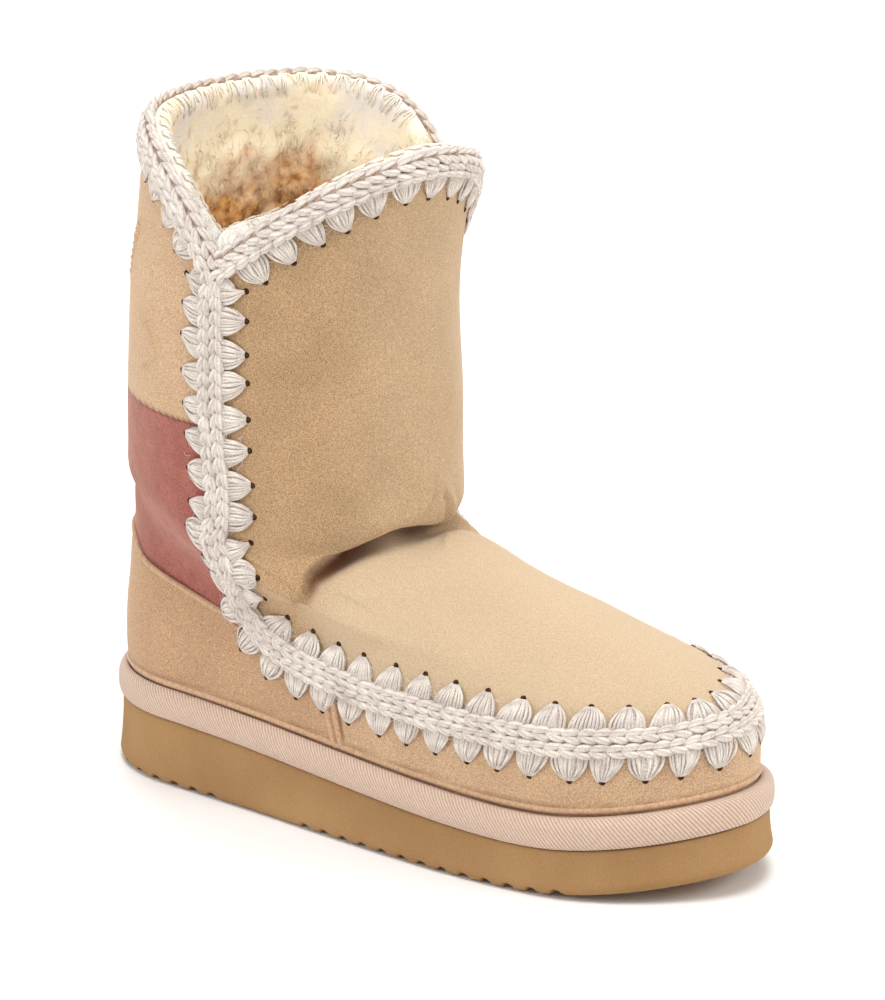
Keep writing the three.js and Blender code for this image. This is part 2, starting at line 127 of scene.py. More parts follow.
# Locks of wool inside the leg: name, number, and least and greatest depth below the collar
WOOL_LOCKS = [("fleece_locks_upper", 700, 9, 56), ("fleece_locks_lower", 500, 45, 150)]
LOCK_FIBRES = 7
WOOL_LIFT = (0.3, 0.2, 0.93)
FUZZ_LIFT = (0.2, 0.3, 0.93)

# Half widths of the sole's outline, as shares of the ball width: at, outer, inner
OUTLINE = np.array([
    (0.0, 0.37, 0.37),
    (0.15, 0.395, 0.385),
    (0.3, 0.425, 0.37),
    (0.45, 0.465, 0.385),
    (0.6, 0.497, 0.44),
    (0.7, 0.5, 0.475),
    (0.8, 0.475, 0.49),
    (0.9, 0.41, 0.465),
    (1.0, 0.32, 0.41),
])

# Foot sections, as shares of the sole's length, the instep's height and the ball's width:
# back, back's height, front, front's height, sag, outer, inner, foot share, lean
FOOT_SECTIONS = [
    (0.007, 0.4, 0.988, 0.42, 0, 0.485, 0.457, 1, 1.6),
    (0.006, 0.57, 0.982, 0.54, 0, 0.48, 0.452, 0.95, 1.65),
    (0.009, 0.7, 0.953, 0.635, 0, 0.46, 0.433, 0.85, 1.72),
    (0.012, 0.8, 0.888, 0.715, 0.03, 0.455, 0.425, 0.65, 1.77),
    (0.018, 0.88, 0.795, 0.795, 0.06, 0.47, 0.44, 0.35, 1.74),
    (0.022, 0.96, 0.69, 0.87, 0.1, 0.49, 0.46, 0.1, 1.6),
    (0.025, 1.05, 0.592, 0.94, 0.13, 0.515, 0.495, 0, 1.38),
]

# Shaft sections, as shares of the shaft's depth, of the rise from instep to collar and of the shaft's width:
# back, back's height, front, front's height, sag, outer, inner, lean
SHAFT_SECTIONS = [
    (-0.02, 0.13, 0.985, 0.01, 0.07, 0.48, 0.465, 1.08),
    (-0.02, 0.24, 1.015, 0.09, 0.06, 0.49, 0.475, 1),
    (-0.01, 0.43, 1.01, 0.31, 0.03, 0.495, 0.485, 1),
    (0.015, 0.62, 0.995, 0.6, 0, 0.5, 0.49, 1),
    (0.045, 0.81, 1.015, 0.81, 0, 0.5, 0.525, 1),
    (0.085, 1.0, 1.06, 1.0, 0, 0.5, 0.57, 1),
]

# Seam between the front and back panels: degrees from the heel over the outer side, and section
SEAM = np.array([
    (97, 11.22), (96.4, 10.7), (96.8, 9.76), (98.6, 8.9), (101, 7.8), (100, 6.6), (96.5, 5.3), (93, 4.1),
    (92.4, 3.15), (95.7, 2.48), (101.4, 2.23), (109, 2.04), (117, 2.0), (124.4, 1.98), (132, 1.97),
    (139, 2.0), (146, 2.05), (153, 2.13), (162, 2.25), (171, 2.4), (180, 2.48), (189, 2.5), (198, 2.43),
    (207, 2.32), (214, 2.22), (221, 2.15), (228, 2.1), (235, 2.1), (242.6, 2.14), (246.4, 2.3),
    (249.7, 2.59), (252, 3.07), (251.5, 4.0), (247.2, 5.67), (239.5, 7.5), (237, 8.28), (240, 8.93),
    (240.5, 9.76), (240.5, 10.7), (241, 11.22),
])

# Small folds of the hide: route of turns and rows, depth and width of the trough, height of the ridges
# beside it, their distance from it, and length of the fade at each end
FOLDS = [
    ([(150, 9.3), (160, 9.6), (168, 9.8)], 0.7, 4, 0.4, 7, 12),
    ([(170, 8.75), (175, 9.0), (178, 9.35)], 1.2, 1.5, 0.8, 3, 6),
    ([(181, 8.35), (184, 8.75), (180, 9.2)], 1.2, 1.5, 0.8, 3, 6),
    ([(186, 8.3), (192, 8.7), (199, 8.8)], 1.0, 1.8, 0.7, 3, 6),
    ([(131, 8.6), (143, 9.0), (154, 9.5)], 0.7, 6, 0.5, 10, 14),
    ([(128, 9.2), (134, 10.0), (138, 10.8)], 0.6, 8, 0.3, 14, 20),
    ([(162, 9.6), (166, 10.3), (168, 11.1)], 0.6, 9, 0.3, 14, 20),
    ([(20, 7.6), (45, 7.0), (70, 6.6)], 1.1, 5, 0.7, 9, 16),
    ([(340, 7.6), (315, 7.0), (290, 6.6)], 1.1, 5, 0.7, 9, 16),
    ([(282, 7.9), (268, 7.4), (256, 7.0)], 1.0, 4, 0.6, 7, 12),
    ([(51, 11.8), (44, 11.3), (38, 10.7)], 1.1, 1.3, 1.0, 2.6, 8),
    ([(58, 10.62), (66, 10.48), (70, 10.3)], 0.6, 0.9, 0.5, 2, 4),
    ([(71, 10.28), (65, 10.12), (58, 9.98)], 0.6, 0.9, 0.5, 2, 4),
]

# The shaft's lowest roll hangs over the instep along this route of turns and rows
INSTEP_LIP = [
    (117, 6.6), (119, 6.83), (125.5, 7.4), (130.5, 7.7), (137.5, 7.93), (143, 8.12), (148.5, 8.45),
    (153, 8.62), (159, 8.72), (166, 8.68), (175, 8.55), (186, 8.3), (198, 7.95), (210, 7.6), (222, 7.3),
]
LIP_OUT = 4.6
LIP_LENGTH = 12
LIP_UNDERCUT = 4.6

# The rose panel behind the shaft: height of its top edge, and its lower seam along the sole
ROSE_TOP = 141
ROSE_LOW = np.array([
    (0, 87), (16, 83.5), (24.2, 78), (35.8, 75), (49, 71.8), (68.8, 66.6), (80, 63), (100, 58),
])

# The rand's upright seam: height, and place along the sole
RAND_SEAM = np.array([(26, 125.2), (29, 124.6), (49, 121), (54, 120)])


# A smooth value at a place along a table's rows.
def smooth(places, values, at):
    at = np.asarray(at, float)
    last = len(places) - 1
    i = np.clip(np.searchsorted(places, at, side="right") - 1, 0, last - 1)
    before = np.maximum(np.arange(last + 1) - 1, 0)
    after = np.minimum(np.arange(last + 1) + 1, last)
    slopes = (values[after] - values[before]) / (places[after] - places[before])
    span = places[i + 1] - places[i]
    t = (at - places[i]) / span
    start = (2 * t**3 - 3 * t**2 + 1) * values[i] + (t**3 - 2 * t**2 + t) * span * slopes[i]
    return start + (3 * t**2 - 2 * t**3) * values[i + 1] + (t**3 - t**2) * span * slopes[i + 1]


# Smooth step from 0 to 1 between two values.
def ease(value, low, high):
    t = np.clip((value - low) / (high - low), 0, 1)
    return t * t * (3 - 2 * t)


# Bell curve that is 1 at 0.
def bell(value, width):
    return np.exp(-((value / width) ** 2))


def unit(v):
    return v / np.maximum(np.linalg.norm(v, axis=-1, keepdims=True), 1e-9)


def round_end(share, length, power):
    inside = np.maximum(0, 1 - np.clip(1 - share / length, 0, 1) ** power)
    return np.where(share >= length, 1, np.sqrt(inside))


# Half width of the sole's outline on one side, as a share of the ball width.
def outline_share(share, side):
    column = OUTLINE[:, 1] if side == "outer" else OUTLINE[:, 2]
    ends = round_end(share, *HEEL_ROUND) * round_end(1 - share, *TOE_ROUND)
    return smooth(OUTLINE[:, 0], column, share) * ends


def sole_bottom(s):
    share = np.maximum(0, s / SOLE_LENGTH - SPRING_START) / (1 - SPRING_START)
    lift = np.maximum(0, 1 - s / HEEL_LIFT_LENGTH)
    return TOE_SPRING * share**2 + HEEL_LIFT * lift**2


def sole_top(s):
    spring = sole_bottom(s) - HEEL_LIFT * np.maximum(0, 1 - s / HEEL_LIFT_LENGTH) ** 2
    thinner = ease(s, 0.1 * SOLE_LENGTH, 0.85 * SOLE_LENGTH)
    return spring + HEEL_THICKNESS + (FORE_THICKNESS - HEEL_THICKNESS) * thinner


# Points of the sole's outline in the sole's own place, moved outwards by an offset.
def outline_raw(angle, offset):
    def at(a):
        share = ((1 - np.cos(a)) / 2) ** FOOT_LEAN
        half = np.where(np.sin(a) >= 0, -outline_share(share, "outer"), outline_share(share, "inner"))
        return np.stack([half * BALL_WIDTH, -share * SOLE_LENGTH], axis=-1)

    along = unit(at(angle + 0.01) - at(angle - 0.01))
    return at(angle) + np.stack([along[..., 1], -along[..., 0]], axis=-1) * np.asarray(offset)[..., None]


# The frame puts the middle of its box over the origin. The outsole's box says how far that moved the sole.
def frame_shift():
    angles = 2 * np.pi * np.arange(64) / 64
    own = outline_raw(angles, SIDE_FLARE)
    low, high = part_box("outsole")
    placed = np.array([(low.x + high.x) / 2, (low.y + high.y) / 2]) * 1000
    return placed - (own.min(axis=0) + own.max(axis=0)) / 2


SHIFT = frame_shift()


def outline_point(angle, offset):
    return outline_raw(angle, offset) + SHIFT


def along_sole(y):
    return np.clip(SHIFT[1] - y, 0, SOLE_LENGTH)


# Height of the seat over the sole, where the upper and the welt start.
def seat(s):
    return sole_top(s) + SEAT_GAP


def round_turns(count):
    return np.linspace(0, 2 * np.pi, count + 1)[:-1]


# All sections in millimetres, from the feather edge up.
def section_columns():
    toe = SOLE_LENGTH - FEATHER_INSET
    feather = [
        FEATHER_INSET, seat(FEATHER_INSET), toe, seat(toe), 0,
        BALL_SHARE["outer"] * BALL_WIDTH - FEATHER_INSET, BALL_SHARE["inner"] * BALL_WIDTH - FEATHER_INSET,
        1, FOOT_LEAN,
    ]
    level = (SOLE_LENGTH, INSTEP_HEIGHT)
    foot = np.array(FOOT_SECTIONS) * [*level, *level, INSTEP_HEIGHT, BALL_WIDTH, BALL_WIDTH, 1, 1]
    rise = COLLAR_HEIGHT - INSTEP_HEIGHT
    level = (SHAFT_DEPTH, rise)
    shaft = np.array(SHAFT_SECTIONS) * [*level, *level, rise, SHAFT_WIDTH, SHAFT_WIDTH, 1]
    shaft = shaft + [SHAFT_BACK, INSTEP_HEIGHT, SHAFT_BACK, INSTEP_HEIGHT, 0, 0, 0, 0]
    rows = np.vstack([feather, foot, np.insert(shaft, 7, 0, axis=1)])
    names = ("back", "back_up", "front", "front_up", "sag", "outer", "inner", "foot", "lean")
    return dict(zip(names, rows.T))


SECTIONS = section_columns()
TOP_SECTION = len(SECTIONS["back"]) - 1
SECTION_PLACES = np.arange(TOP_SECTION + 1, dtype=float)


def section(name, t):
    return smooth(SECTION_PLACES, SECTIONS[name], t)


# Outer face of the hide. The angle runs from the heel over the outer side, and t over the sections.
def hide_point(angle, t):
    angle, t = np.broadcast_arrays(np.asarray(angle, float), np.asarray(t, float))
    f = ((1 - np.cos(angle)) / 2) ** section("lean", t)
    foot = np.clip(section("foot", t), 0, 1)
    oval = 2 * np.sqrt(np.maximum(0, f * (1 - f)))
    halves = {}
    for side in ("outer", "inner"):
        round_share = foot * outline_share(f, side) / BALL_SHARE[side] + (1 - foot) * oval
        halves[side] = section(side, t) * round_share
    x = np.where(np.sin(angle) >= 0, -halves["outer"], halves["inner"])
    back, back_up = section("back", t), section("back_up", t)
    y = -(back + (section("front", t) - back) * f)
    z = back_up + (section("front_up", t) - back_up) * f - section("sag", t) * np.sin(np.pi * f * f)
    return np.stack([x + SHIFT[0], y + SHIFT[1], z], axis=-1)


def hide_normal(angle, t):
    around = hide_point(angle + 0.01, t) - hide_point(angle - 0.01, t)
    low, high = np.maximum(0, t - 0.01), np.minimum(TOP_SECTION, t + 0.01)
    return unit(np.cross(around, hide_point(angle, high) - hide_point(angle, low)))


# Value between two at which a test turns from true to false.
def turning_value(low, high, test):
    for _ in range(30):
        middle = (low + high) / 2
        passed = test(middle)
        low, high = np.where(passed, middle, low), np.where(passed, high, middle)
    return (low + high) / 2


# Section number at which a column reaches a height.
def section_at(angle, height):
    angle, height = np.broadcast_arrays(np.asarray(angle, float), np.asarray(height, float))
    top = np.full(angle.shape, float(TOP_SECTION))
    return turning_value(np.zeros(angle.shape), top, lambda t: hide_point(angle, t)[..., 2] < height)


def turned(angle):
    return np.arctan2(np.sin(angle), np.cos(angle))


# Height of the collar above its notches.
def collar_rise(angle):
    middle = (OUTER_NOTCH + INNER_NOTCH) / 2
    half = (OUTER_NOTCH - INNER_NOTCH) / 2
    away = np.abs(turned(angle - middle))
    back = NOTCH_DROP * (1 - np.minimum(1, away / half) ** BACK_POWER)
    ahead = np.minimum(1, (np.pi - away) / (np.pi - half))
    front = (NOTCH_DROP - FRONT_DROP) * (1 - ahead**FRONT_POWER)
    return np.where(away < half, back, front)


def collar_up(angle):
    return COLLAR_HEIGHT - NOTCH_DROP + collar_rise(angle)


# Height of the collar with its notches rounded out.
def round_collar(angle):
    return COLLAR_HEIGHT - NOTCH_DROP + np.hypot(collar_rise(angle), NOTCH_ROUND)


# Distance from each point to a line of points, the place along it, the nearest segment and the line's length.
def near_line(points, line):
    flat = points.reshape(-1, 3)
    lengths = np.concatenate([[0], np.cumsum(np.linalg.norm(np.diff(line, axis=0), axis=1))])
    best = np.full(len(flat), 1e9)
    place = np.zeros(len(flat))
    which = np.zeros(len(flat), int)
    for i in range(len(line) - 1):
        step = line[i + 1] - line[i]
        share = np.clip((flat - line[i]) @ step / max(step @ step, 1e-9), 0, 1)
        gap = np.linalg.norm(flat - line[i] - share[:, None] * step, axis=1)
        closer = gap < best
        best = np.where(closer, gap, best)
        place = np.where(closer, lengths[i] + share * (lengths[i + 1] - lengths[i]), place)
        which = np.where(closer, i, which)
    shape = points.shape[:-1]
    return best.reshape(shape), place.reshape(shape), which.reshape(shape), lengths[-1]


# A route of turns and rows as a smooth fine line of angles and sections.
def fine_route(route, per_row=8):
    route = np.asarray(route, float)
    places = np.arange(len(route), dtype=float)
    at = np.linspace(0, len(route) - 1, per_row * (len(route) - 1) + 1)
    return np.radians(smooth(places, route[:, 0], at)), smooth(places, route[:, 1], at)


# How far points are above a route, or below it as less than 0, their place along it and its length.
def beside_route(points, route):
    turn, row = fine_route(route, 6)
    line = hide_point(turn, row)
    gap, place, which, length = near_line(points, line)
    up = unit(hide_point(turn, row + 0.05) - line)[which]
    above = np.where(np.sum((points - line[which]) * up, axis=-1) >= 0, gap, -gap)
    return above, place, length


# Which points are in the box round a route, made larger by a reach.
def round_route(points, route, reach):
    line = hide_point(*fine_route(route, 6))
    return np.all((points > line.min(axis=0) - reach) & (points < line.max(axis=0) + reach), axis=-1)


# Height of one fold over the plain hide.
def fold_height(fold, points):
    route, depth, width, rise, away, fade = fold
    above, place, length = beside_route(points, route)
    ends = ease(np.minimum(place, length - place), -2, fade)
    beside = bell(above - away, 0.6 * away) + 0.35 * bell(above + away, 0.6 * away)
    return ends * (rise * beside - depth * bell(above, width))


# How far points are above the lip over the instep, how fully it is formed there, and their place along it.
def beside_lip(points):
    above, place, length = beside_route(points, INSTEP_LIP)
    return above, ease(place, -6, 20) * ease(length - place, 0, 40), place


# Height of the roll over the instep, the hollow under its lip and the vamp's swell before it.
def lip_height(points):
    above, formed, _ = beside_lip(points)
    roll = LIP_OUT * ease(above, -1.2, 1.2) * np.exp(-np.maximum(above, 0) / LIP_LENGTH)
    hollow = LIP_UNDERCUT * bell(above + 2.6, 3.0)
    swell = 1.3 * bell(above + 17, 9)
    return formed * (roll - hollow + swell)


# Folds and slack of the hide, worked out once over all turns and rows.
def relief_table():
    turns = np.linspace(0, 2 * np.pi, TABLE[0] + 1)
    turns, rows = np.meshgrid(turns, np.linspace(0, TOP_SECTION, TABLE[1] + 1))
    points = hide_point(turns, rows)
    x, y, z = np.moveaxis(points, -1, 0)
    slack = 0.35 * np.sin(x / 11 + z / 17 + 1) * np.sin(y / 13 - z / 23)
    total = (slack + 0.2 * np.sin(x / 6 - y / 7 + z / 8)) * ease(z, 45, 80)
    for fold in FOLDS:
        route, away = fold[0], fold[4]
        near = round_route(points, route, 3 * away)
        total[near] += fold_height(fold, points[near])
    near = round_route(points, INSTEP_LIP, 45)
    total[near] += lip_height(points[near])
    return total


TABLE = (720, 560)
RELIEF = relief_table()


# Height of the suede over the plain hide.
def relief(angle, t):
    across = np.mod(angle, 2 * np.pi) / (2 * np.pi) * TABLE[0]
    up = np.clip(t, 0, TOP_SECTION) / TOP_SECTION * TABLE[1]
    i = np.minimum(across.astype(int), TABLE[0] - 1)
    j = np.minimum(up.astype(int), TABLE[1] - 1)
    a, b = across - i, up - j
    low = (1 - a) * RELIEF[j, i] + a * RELIEF[j, i + 1]
    return (1 - b) * low + b * ((1 - a) * RELIEF[j + 1, i] + a * RELIEF[j + 1, i + 1])


def off_hide(angle, t, out):
    return hide_point(angle, t) + hide_normal(angle, t) * np.asarray(out)[..., None]


# Points at a distance out from the suede, folds and all.
def off_suede(angle, t, out):
    return off_hide(angle, t, relief(angle, t) + out)


# Places reached from others by going a distance over the hide in a direction.
def walk(angle, t, heading, distance):
    steps = max(1, int(np.ceil(np.abs(distance).max() / 1.5)))
    for _ in range(steps):
        here = hide_point(angle, t)
        around = (hide_point(angle + 0.01, t) - here) / 0.01
        rise = (hide_point(angle, t + 0.01) - here) / 0.01
        aa, ar, rr = np.sum(around**2, -1), np.sum(around * rise, -1), np.sum(rise**2, -1)
        ha, hr = np.sum(heading * around, -1), np.sum(heading * rise, -1)
        scale = distance / steps / (aa * rr - ar * ar)
        angle = angle + np.clip((ha * rr - hr * ar) * scale, -0.12, 0.12)
        t = np.clip(t + (hr * aa - ha * ar) * scale, 0, TOP_SECTION)
    return angle, t


# A path over the hide that is read by its length. A closed one may go round the leg.
class Path:
    def __init__(self, angle, t, closed=False):
        line = hide_point(angle, t)
        self.at = np.concatenate([[0], np.cumsum(np.linalg.norm(np.diff(line, axis=0), axis=1))])
        self.angle, self.t, self.closed, self.length = angle, t, closed, self.at[-1]

    def place(self, s):
        s = np.mod(s, self.length) if self.closed else s
        return np.interp(s, self.at, self.angle), np.interp(s, self.at, self.t)

    def heading(self, s, reach=2.5):
        return unit(hide_point(*self.place(s + reach)) - hide_point(*self.place(s - reach)))

    def beside(self, s, d):
        angle, t = self.place(s)
        across = unit(np.cross(hide_normal(angle, t), self.heading(s)))
        return walk(angle, t, across, d)

    # Points beside the path: s along it, d across it and out from the suede.
    def point(self, s, d, out):
        return off_suede(*self.beside(s, d), out)

    def up(self, s, d):
        return hide_normal(*self.beside(s, d))


def seam_path():
    return Path(*fine_route(SEAM, 15))


def collar_path():
    angle = np.linspace(0, 2 * np.pi, 361)
    return Path(angle, section_at(angle, round_collar(angle)), closed=True)


# Values along a closed line, smoothed. Each time round adds the winding.
def smooth_round(values, winding, reach=15, width=4.0):
    weight = bell(np.arange(-reach, reach + 1), width)
    padded = np.concatenate([values[-reach:] - winding, values, values[:reach] + winding])
    values = np.convolve(padded, weight / weight.sum(), "valid")
    return np.append(values, values[0] + winding)


# One line of chain goes along the seam and back along a collar, so it closes round its panel.
def panel_path(side):
    s = np.linspace(4, SEAM_PATH.length - 4, 460)
    seam_angle, seam_t = SEAM_PATH.beside(s, side * 0.45 * CHAIN_WIDTH)
    winding = 0 if side > 0 else 2 * np.pi
    angle = np.linspace(INNER_NOTCH + 2 * np.pi, OUTER_NOTCH + winding, 182)[1:-1]
    t = section_at(angle, round_collar(angle) - COLLAR_DROP)
    angle, t = np.concatenate([seam_angle, angle]), np.concatenate([seam_t, t])
    plain = Path(np.append(angle, angle[0] + winding), np.append(t, t[0]), closed=True)
    at = np.arange(0, plain.length, 1.0)
    around, level = np.interp(at, plain.at, plain.angle), np.interp(at, plain.at, plain.t)
    return Path(smooth_round(around, winding), smooth_round(level, 0), closed=True)


SEAM_PATH = seam_path()
FRONT_PATH = panel_path(1)
BACK_PATH = panel_path(-1)
COLLAR_PATH = collar_path()


# Points round the collar's rim: d runs down the outside, and below 0 over the rim and down the inside.
def collar_point(s, d, out):
    angle, t = COLLAR_PATH.place(s)
    normal = hide_normal(angle, t)
    up = unit(np.cross(normal, COLLAR_PATH.heading(s)))
    radius = (HIDE_THICKNESS + PILE_GAP + RIM_PILE) / 2
    outside = off_suede(*walk(angle, t, -up, np.maximum(d, 0)), out)
    round_the_rim = np.clip(-d / radius, 0, np.pi)
    below = np.maximum(0, -d - np.pi * radius)
    rim = hide_point(angle, t)
    level = normal * (-radius + (radius + out) * np.cos(round_the_rim))[..., None]
    over = rim + level + up * ((radius + out) * np.sin(round_the_rim) - below)[..., None]
    return np.where((d >= 0)[..., None], outside, over)


def collar_out(s, d):
    return unit(collar_point(s, d, 1.0 + 0 * d) - collar_point(s, d, 0 * d))


# The four corners of each cell of grids of values.
def cells(grid):
    return np.stack([grid[:, :-1, :-1], grid[:, :-1, 1:], grid[:, 1:, 1:], grid[:, 1:, :-1]], axis=3)


# Lengths over grids of points, across and along, at each corner of each cell.
def cell_lengths(net):
    lengths = []
    for axis, mean_over in ((2, 1), (1, 2)):
        steps = np.linalg.norm(np.diff(net, axis=axis), axis=-1).mean(axis=mean_over)
        steps = np.concatenate([np.zeros((len(net), 1)), np.cumsum(steps, axis=1)], axis=1)
        lengths.append(np.expand_dims(steps, mean_over) + np.zeros(net.shape[:3]))
    return cells(np.stack(lengths, axis=-1)).reshape(-1, 2)


def new_object(name, data):
    item = bpy.data.objects.new(name, data)
    bpy.context.scene.collection.objects.link(item)
    return item


# Mesh of one or more grids of points. wrap closes each row, and caps close a tube's ends.
def lattice(name, points, material, wrap=False, caps=False, values=None):
    points = np.asarray(points, float)
    points = points[None] if points.ndim == 3 else points
    ids = np.arange(points[..., 0].size).reshape(points.shape[:3])
    columns = ids.shape[2]
    net = points
    if wrap:
        ids = np.concatenate([ids, ids[:, :, :1]], axis=2)
        net = np.concatenate([net, net[:, :, :1]], axis=2)
    uv = cell_lengths(net)
    corner_ids = cells(ids).ravel()
    starts = np.arange(0, len(corner_ids), 4)
    if caps:
        ends = np.concatenate([ids[:, 0, columns - 1 :: -1], ids[:, -1, :columns]])
        starts = np.concatenate([starts, len(corner_ids) + columns * np.arange(len(ends))])
        corner_ids = np.concatenate([corner_ids, ends.ravel()])
        uv = np.concatenate([uv, np.zeros((ends.size, 2))])
    mesh = bpy.data.meshes.new(name)
    mesh.vertices.add(points[..., 0].size)
    mesh.vertices.foreach_set("co", (points.reshape(-1, 3) * 0.001).ravel())
    mesh.loops.add(len(corner_ids))
    mesh.loops.foreach_set("vertex_index", corner_ids)
    mesh.polygons.add(len(starts))
    mesh.polygons.foreach_set("loop_start", starts)
    mesh.update(calc_edges=True)
    mesh.polygons.foreach_set("use_smooth", np.ones(len(starts), bool))
    mesh.uv_layers.new(name="millimetres").data.foreach_set("uv", uv.ravel())
    for key, value in (values or {}).items():
        attribute = mesh.attributes.new(key, "FLOAT", "POINT")
        attribute.data.foreach_set("value", np.asarray(value, np.float32).ravel())
    mesh.validate()
    mesh.update()
    mesh.materials.append(material)
    return new_object(name, mesh)


# Tapered strands along rows of centres. Upward directions and radii may be one for all rows.
def strands(name, centres, ups, wide, high, sides, material, values=None):
    heading = unit(np.gradient(centres, axis=-2))
    across = unit(np.cross(heading, ups))
    up = np.cross(across, heading)
    turn = round_turns(sides)[:, None]
    wide, high = np.asarray(wide)[..., None, None], np.asarray(high)[..., None, None]
    ring = across[..., None, :] * np.cos(turn) * wide
    ring = centres[..., None, :] + (ring + up[..., None, :] * np.sin(turn) * high)
    spread = {}
    for key, value in (values or {}).items():
        spread[key] = np.repeat(value[..., None], sides, -1)
    grids = ring.reshape(-1, *ring.shape[-3:])
    return lattice(name, grids, material, wrap=True, caps=True, values=spread)


def keep(piece, slot, *nodes):
    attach(piece, "root")
    if nodes:
        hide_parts(*nodes)


# Linear colour with alpha from a colour in steps of 255.
def linear(red, green, blue):
    return tuple(((step / 255 + 0.055) / 1.055) ** 2.4 for step in (red, green, blue)) + (1,)


# A material's node tree, with short ways to add and join nodes.
class Surface:
    def __init__(self, name, roughness, sheen=0.0, specular=0.3, sheen_tint=(1, 1, 1)):
        self.material = bpy.data.materials.new(name)
        self.material.use_nodes = True
        self.tree = self.material.node_tree
        self.shader = self.tree.nodes["Principled BSDF"]
        self.fill(self.shader, Roughness=roughness, Specular_IOR_Level=specular)
        self.fill(self.shader, Sheen_Weight=sheen, Sheen_Roughness=0.5, Sheen_Tint=(*sheen_tint, 1))

    # Gives a socket a value, or joins it to another socket.
    def put(self, socket, value):
        if isinstance(value, bpy.types.NodeSocket):
            self.tree.links.new(value, socket)
        else:
            socket.default_value = value

    # Fills a node's sockets by their names, with _ for each space.
    def fill(self, node, **inputs):
        for key, value in inputs.items():
            self.put(node.inputs[key.replace("_", " ")], value)
        return node

    def add(self, kind, **inputs):
        return self.fill(self.tree.nodes.new(kind), **inputs)

    # A node that is set up first and then joined by its sockets' numbers.
    def join(self, kind, sockets, **settings):
        node = self.tree.nodes.new(kind)
        for key, value in settings.items():
            setattr(node, key, value)
        for at, value in sockets.items():
            self.put(node.inputs[at], value)
        return node.outputs

    def noise(self, scale, detail=2.0, rough=0.5):
        place = self.add("ShaderNodeTexCoord").outputs["Object"]
        node = self.add("ShaderNodeTexNoise", Vector=place, Scale=scale, Detail=detail, Roughness=rough)
        return node.outputs["Fac"]

    def map(self, value, low, high, to_low=0.0, to_high=1.0):
        node = self.add("ShaderNodeMapRange", Value=value, From_Min=low, From_Max=high)
        return self.fill(node, To_Min=to_low, To_Max=to_high).outputs["Result"]

    def value(self, name):
        return self.join("ShaderNodeAttribute", {}, attribute_name=name)["Fac"]

    def mix(self, share, a, b, blend="MIX"):
        return self.join("ShaderNodeMix", {0: share, 6: a, 7: b}, data_type="RGBA", blend_type=blend)[2]

    # Colour between two, by where a value lies between two limits.
    def tone(self, value, low, high, a, b):
        return self.mix(self.map(value, low, high), linear(*a), linear(*b))

    # Colour made darker by another, by where a value falls below a limit.
    def darken(self, value, low, high, share, colour, shade):
        return self.mix(self.map(value, low, high, share, 0.0), colour, linear(*shade), "MULTIPLY")

    def math(self, operation, a, b=0.0):
        return self.join("ShaderNodeMath", {0: a, 1: b}, operation=operation)[0]

    def bump(self, height, strength, distance, under=None):
        node = self.add("ShaderNodeBump", Height=height, Strength=strength, Distance=distance)
        if under:
            self.fill(node, Normal=under)
        return node.outputs["Normal"]

    # Waves over the mesh's lengths across and along.
    def waves(self, across, along):
        place = self.add("ShaderNodeUVMap").outputs["UV"]
        split = self.add("ShaderNodeSeparateXYZ", Vector=place).outputs
        across, along = self.math("MULTIPLY", split["X"], across), self.math("MULTIPLY", split["Y"], along)
        return self.math("SINE", self.math("ADD", across, along))

    def finish(self, colour, normal=None):
        self.fill(self.shader, Base_Color=colour)
        if normal:
            self.fill(self.shader, Normal=normal)
        return self.material


# A plain material mottled between two colours, with a fine nap.
def mottled(name, roughness, sheen, specular, scale, a, b):
    s = Surface(name, roughness, sheen, specular)
    colour = s.tone(s.noise(scale, 3), 0.35, 0.65, a, b)
    return s.finish(colour, s.bump(s.noise(1300, 3), 0.3, 0.0004))


# Painted shade for the pinholes' domes, mottled brown.
def hole_material():
    s = Surface("pinhole_shade", 1.0, specular=0.0)
    return s.finish(s.tone(s.noise(900, 2), 0.3, 0.7, (48, 32, 24), (84, 60, 44)))


def suede_material():
    s = Surface("suede", 0.95, sheen=0.4, specular=0.1, sheen_tint=(1, 0.84, 0.68))
    nap = s.noise(2300, 1.5, 0.6)
    mottle = s.noise(45, 3, 0.5)
    tan = s.tone(mottle, 0.3, 0.7, (165, 136, 102), (178, 147, 112))
    # Painted highlight: paler, less saturated suede where light falls on the vamp's top and the front.
    tan = s.mix(s.math("MULTIPLY", s.value("painted_highlight"), 0.8), tan, linear(200, 178, 148))
    back = s.tone(mottle, 0.3, 0.7, (190, 158, 126), (198, 167, 134))
    rand = s.tone(mottle, 0.3, 0.7, (177, 143, 111), (186, 151, 118))
    rose = s.tone(s.noise(160, 3), 0.35, 0.65, (149, 85, 77), (161, 96, 87))
    colour = s.mix(s.map(s.value("behind"), -0.2, 0.2), tan, back)
    colour = s.mix(s.map(s.value("rand"), -0.25, 0.25), colour, rand)
    colour = s.mix(s.map(s.value("rose"), -0.2, 0.2), colour, rose)
    grain = s.value("grain")
    dots = s.math("MULTIPLY", s.map(nap, 0.5, 0.38, 0.0, 0.5), grain)
    colour = s.mix(dots, colour, linear(172, 140, 112), "MULTIPLY")
    glints = s.math("MULTIPLY", s.map(nap, 0.54, 0.68, 0.0, 0.75), grain)
    colour = s.mix(glints, colour, (1.45, 1.43, 1.36, 1), "MULTIPLY")
    # Painted shade along the seams and painted shadow under the roll over the instep.
    colour = s.mix(s.value("shade"), colour, linear(128, 84, 60), "MULTIPLY")
    pile = s.bump(nap, 0.35, 0.0003)
    return s.finish(colour, s.bump(s.noise(420, 2), 0.2, 0.0008, pile))


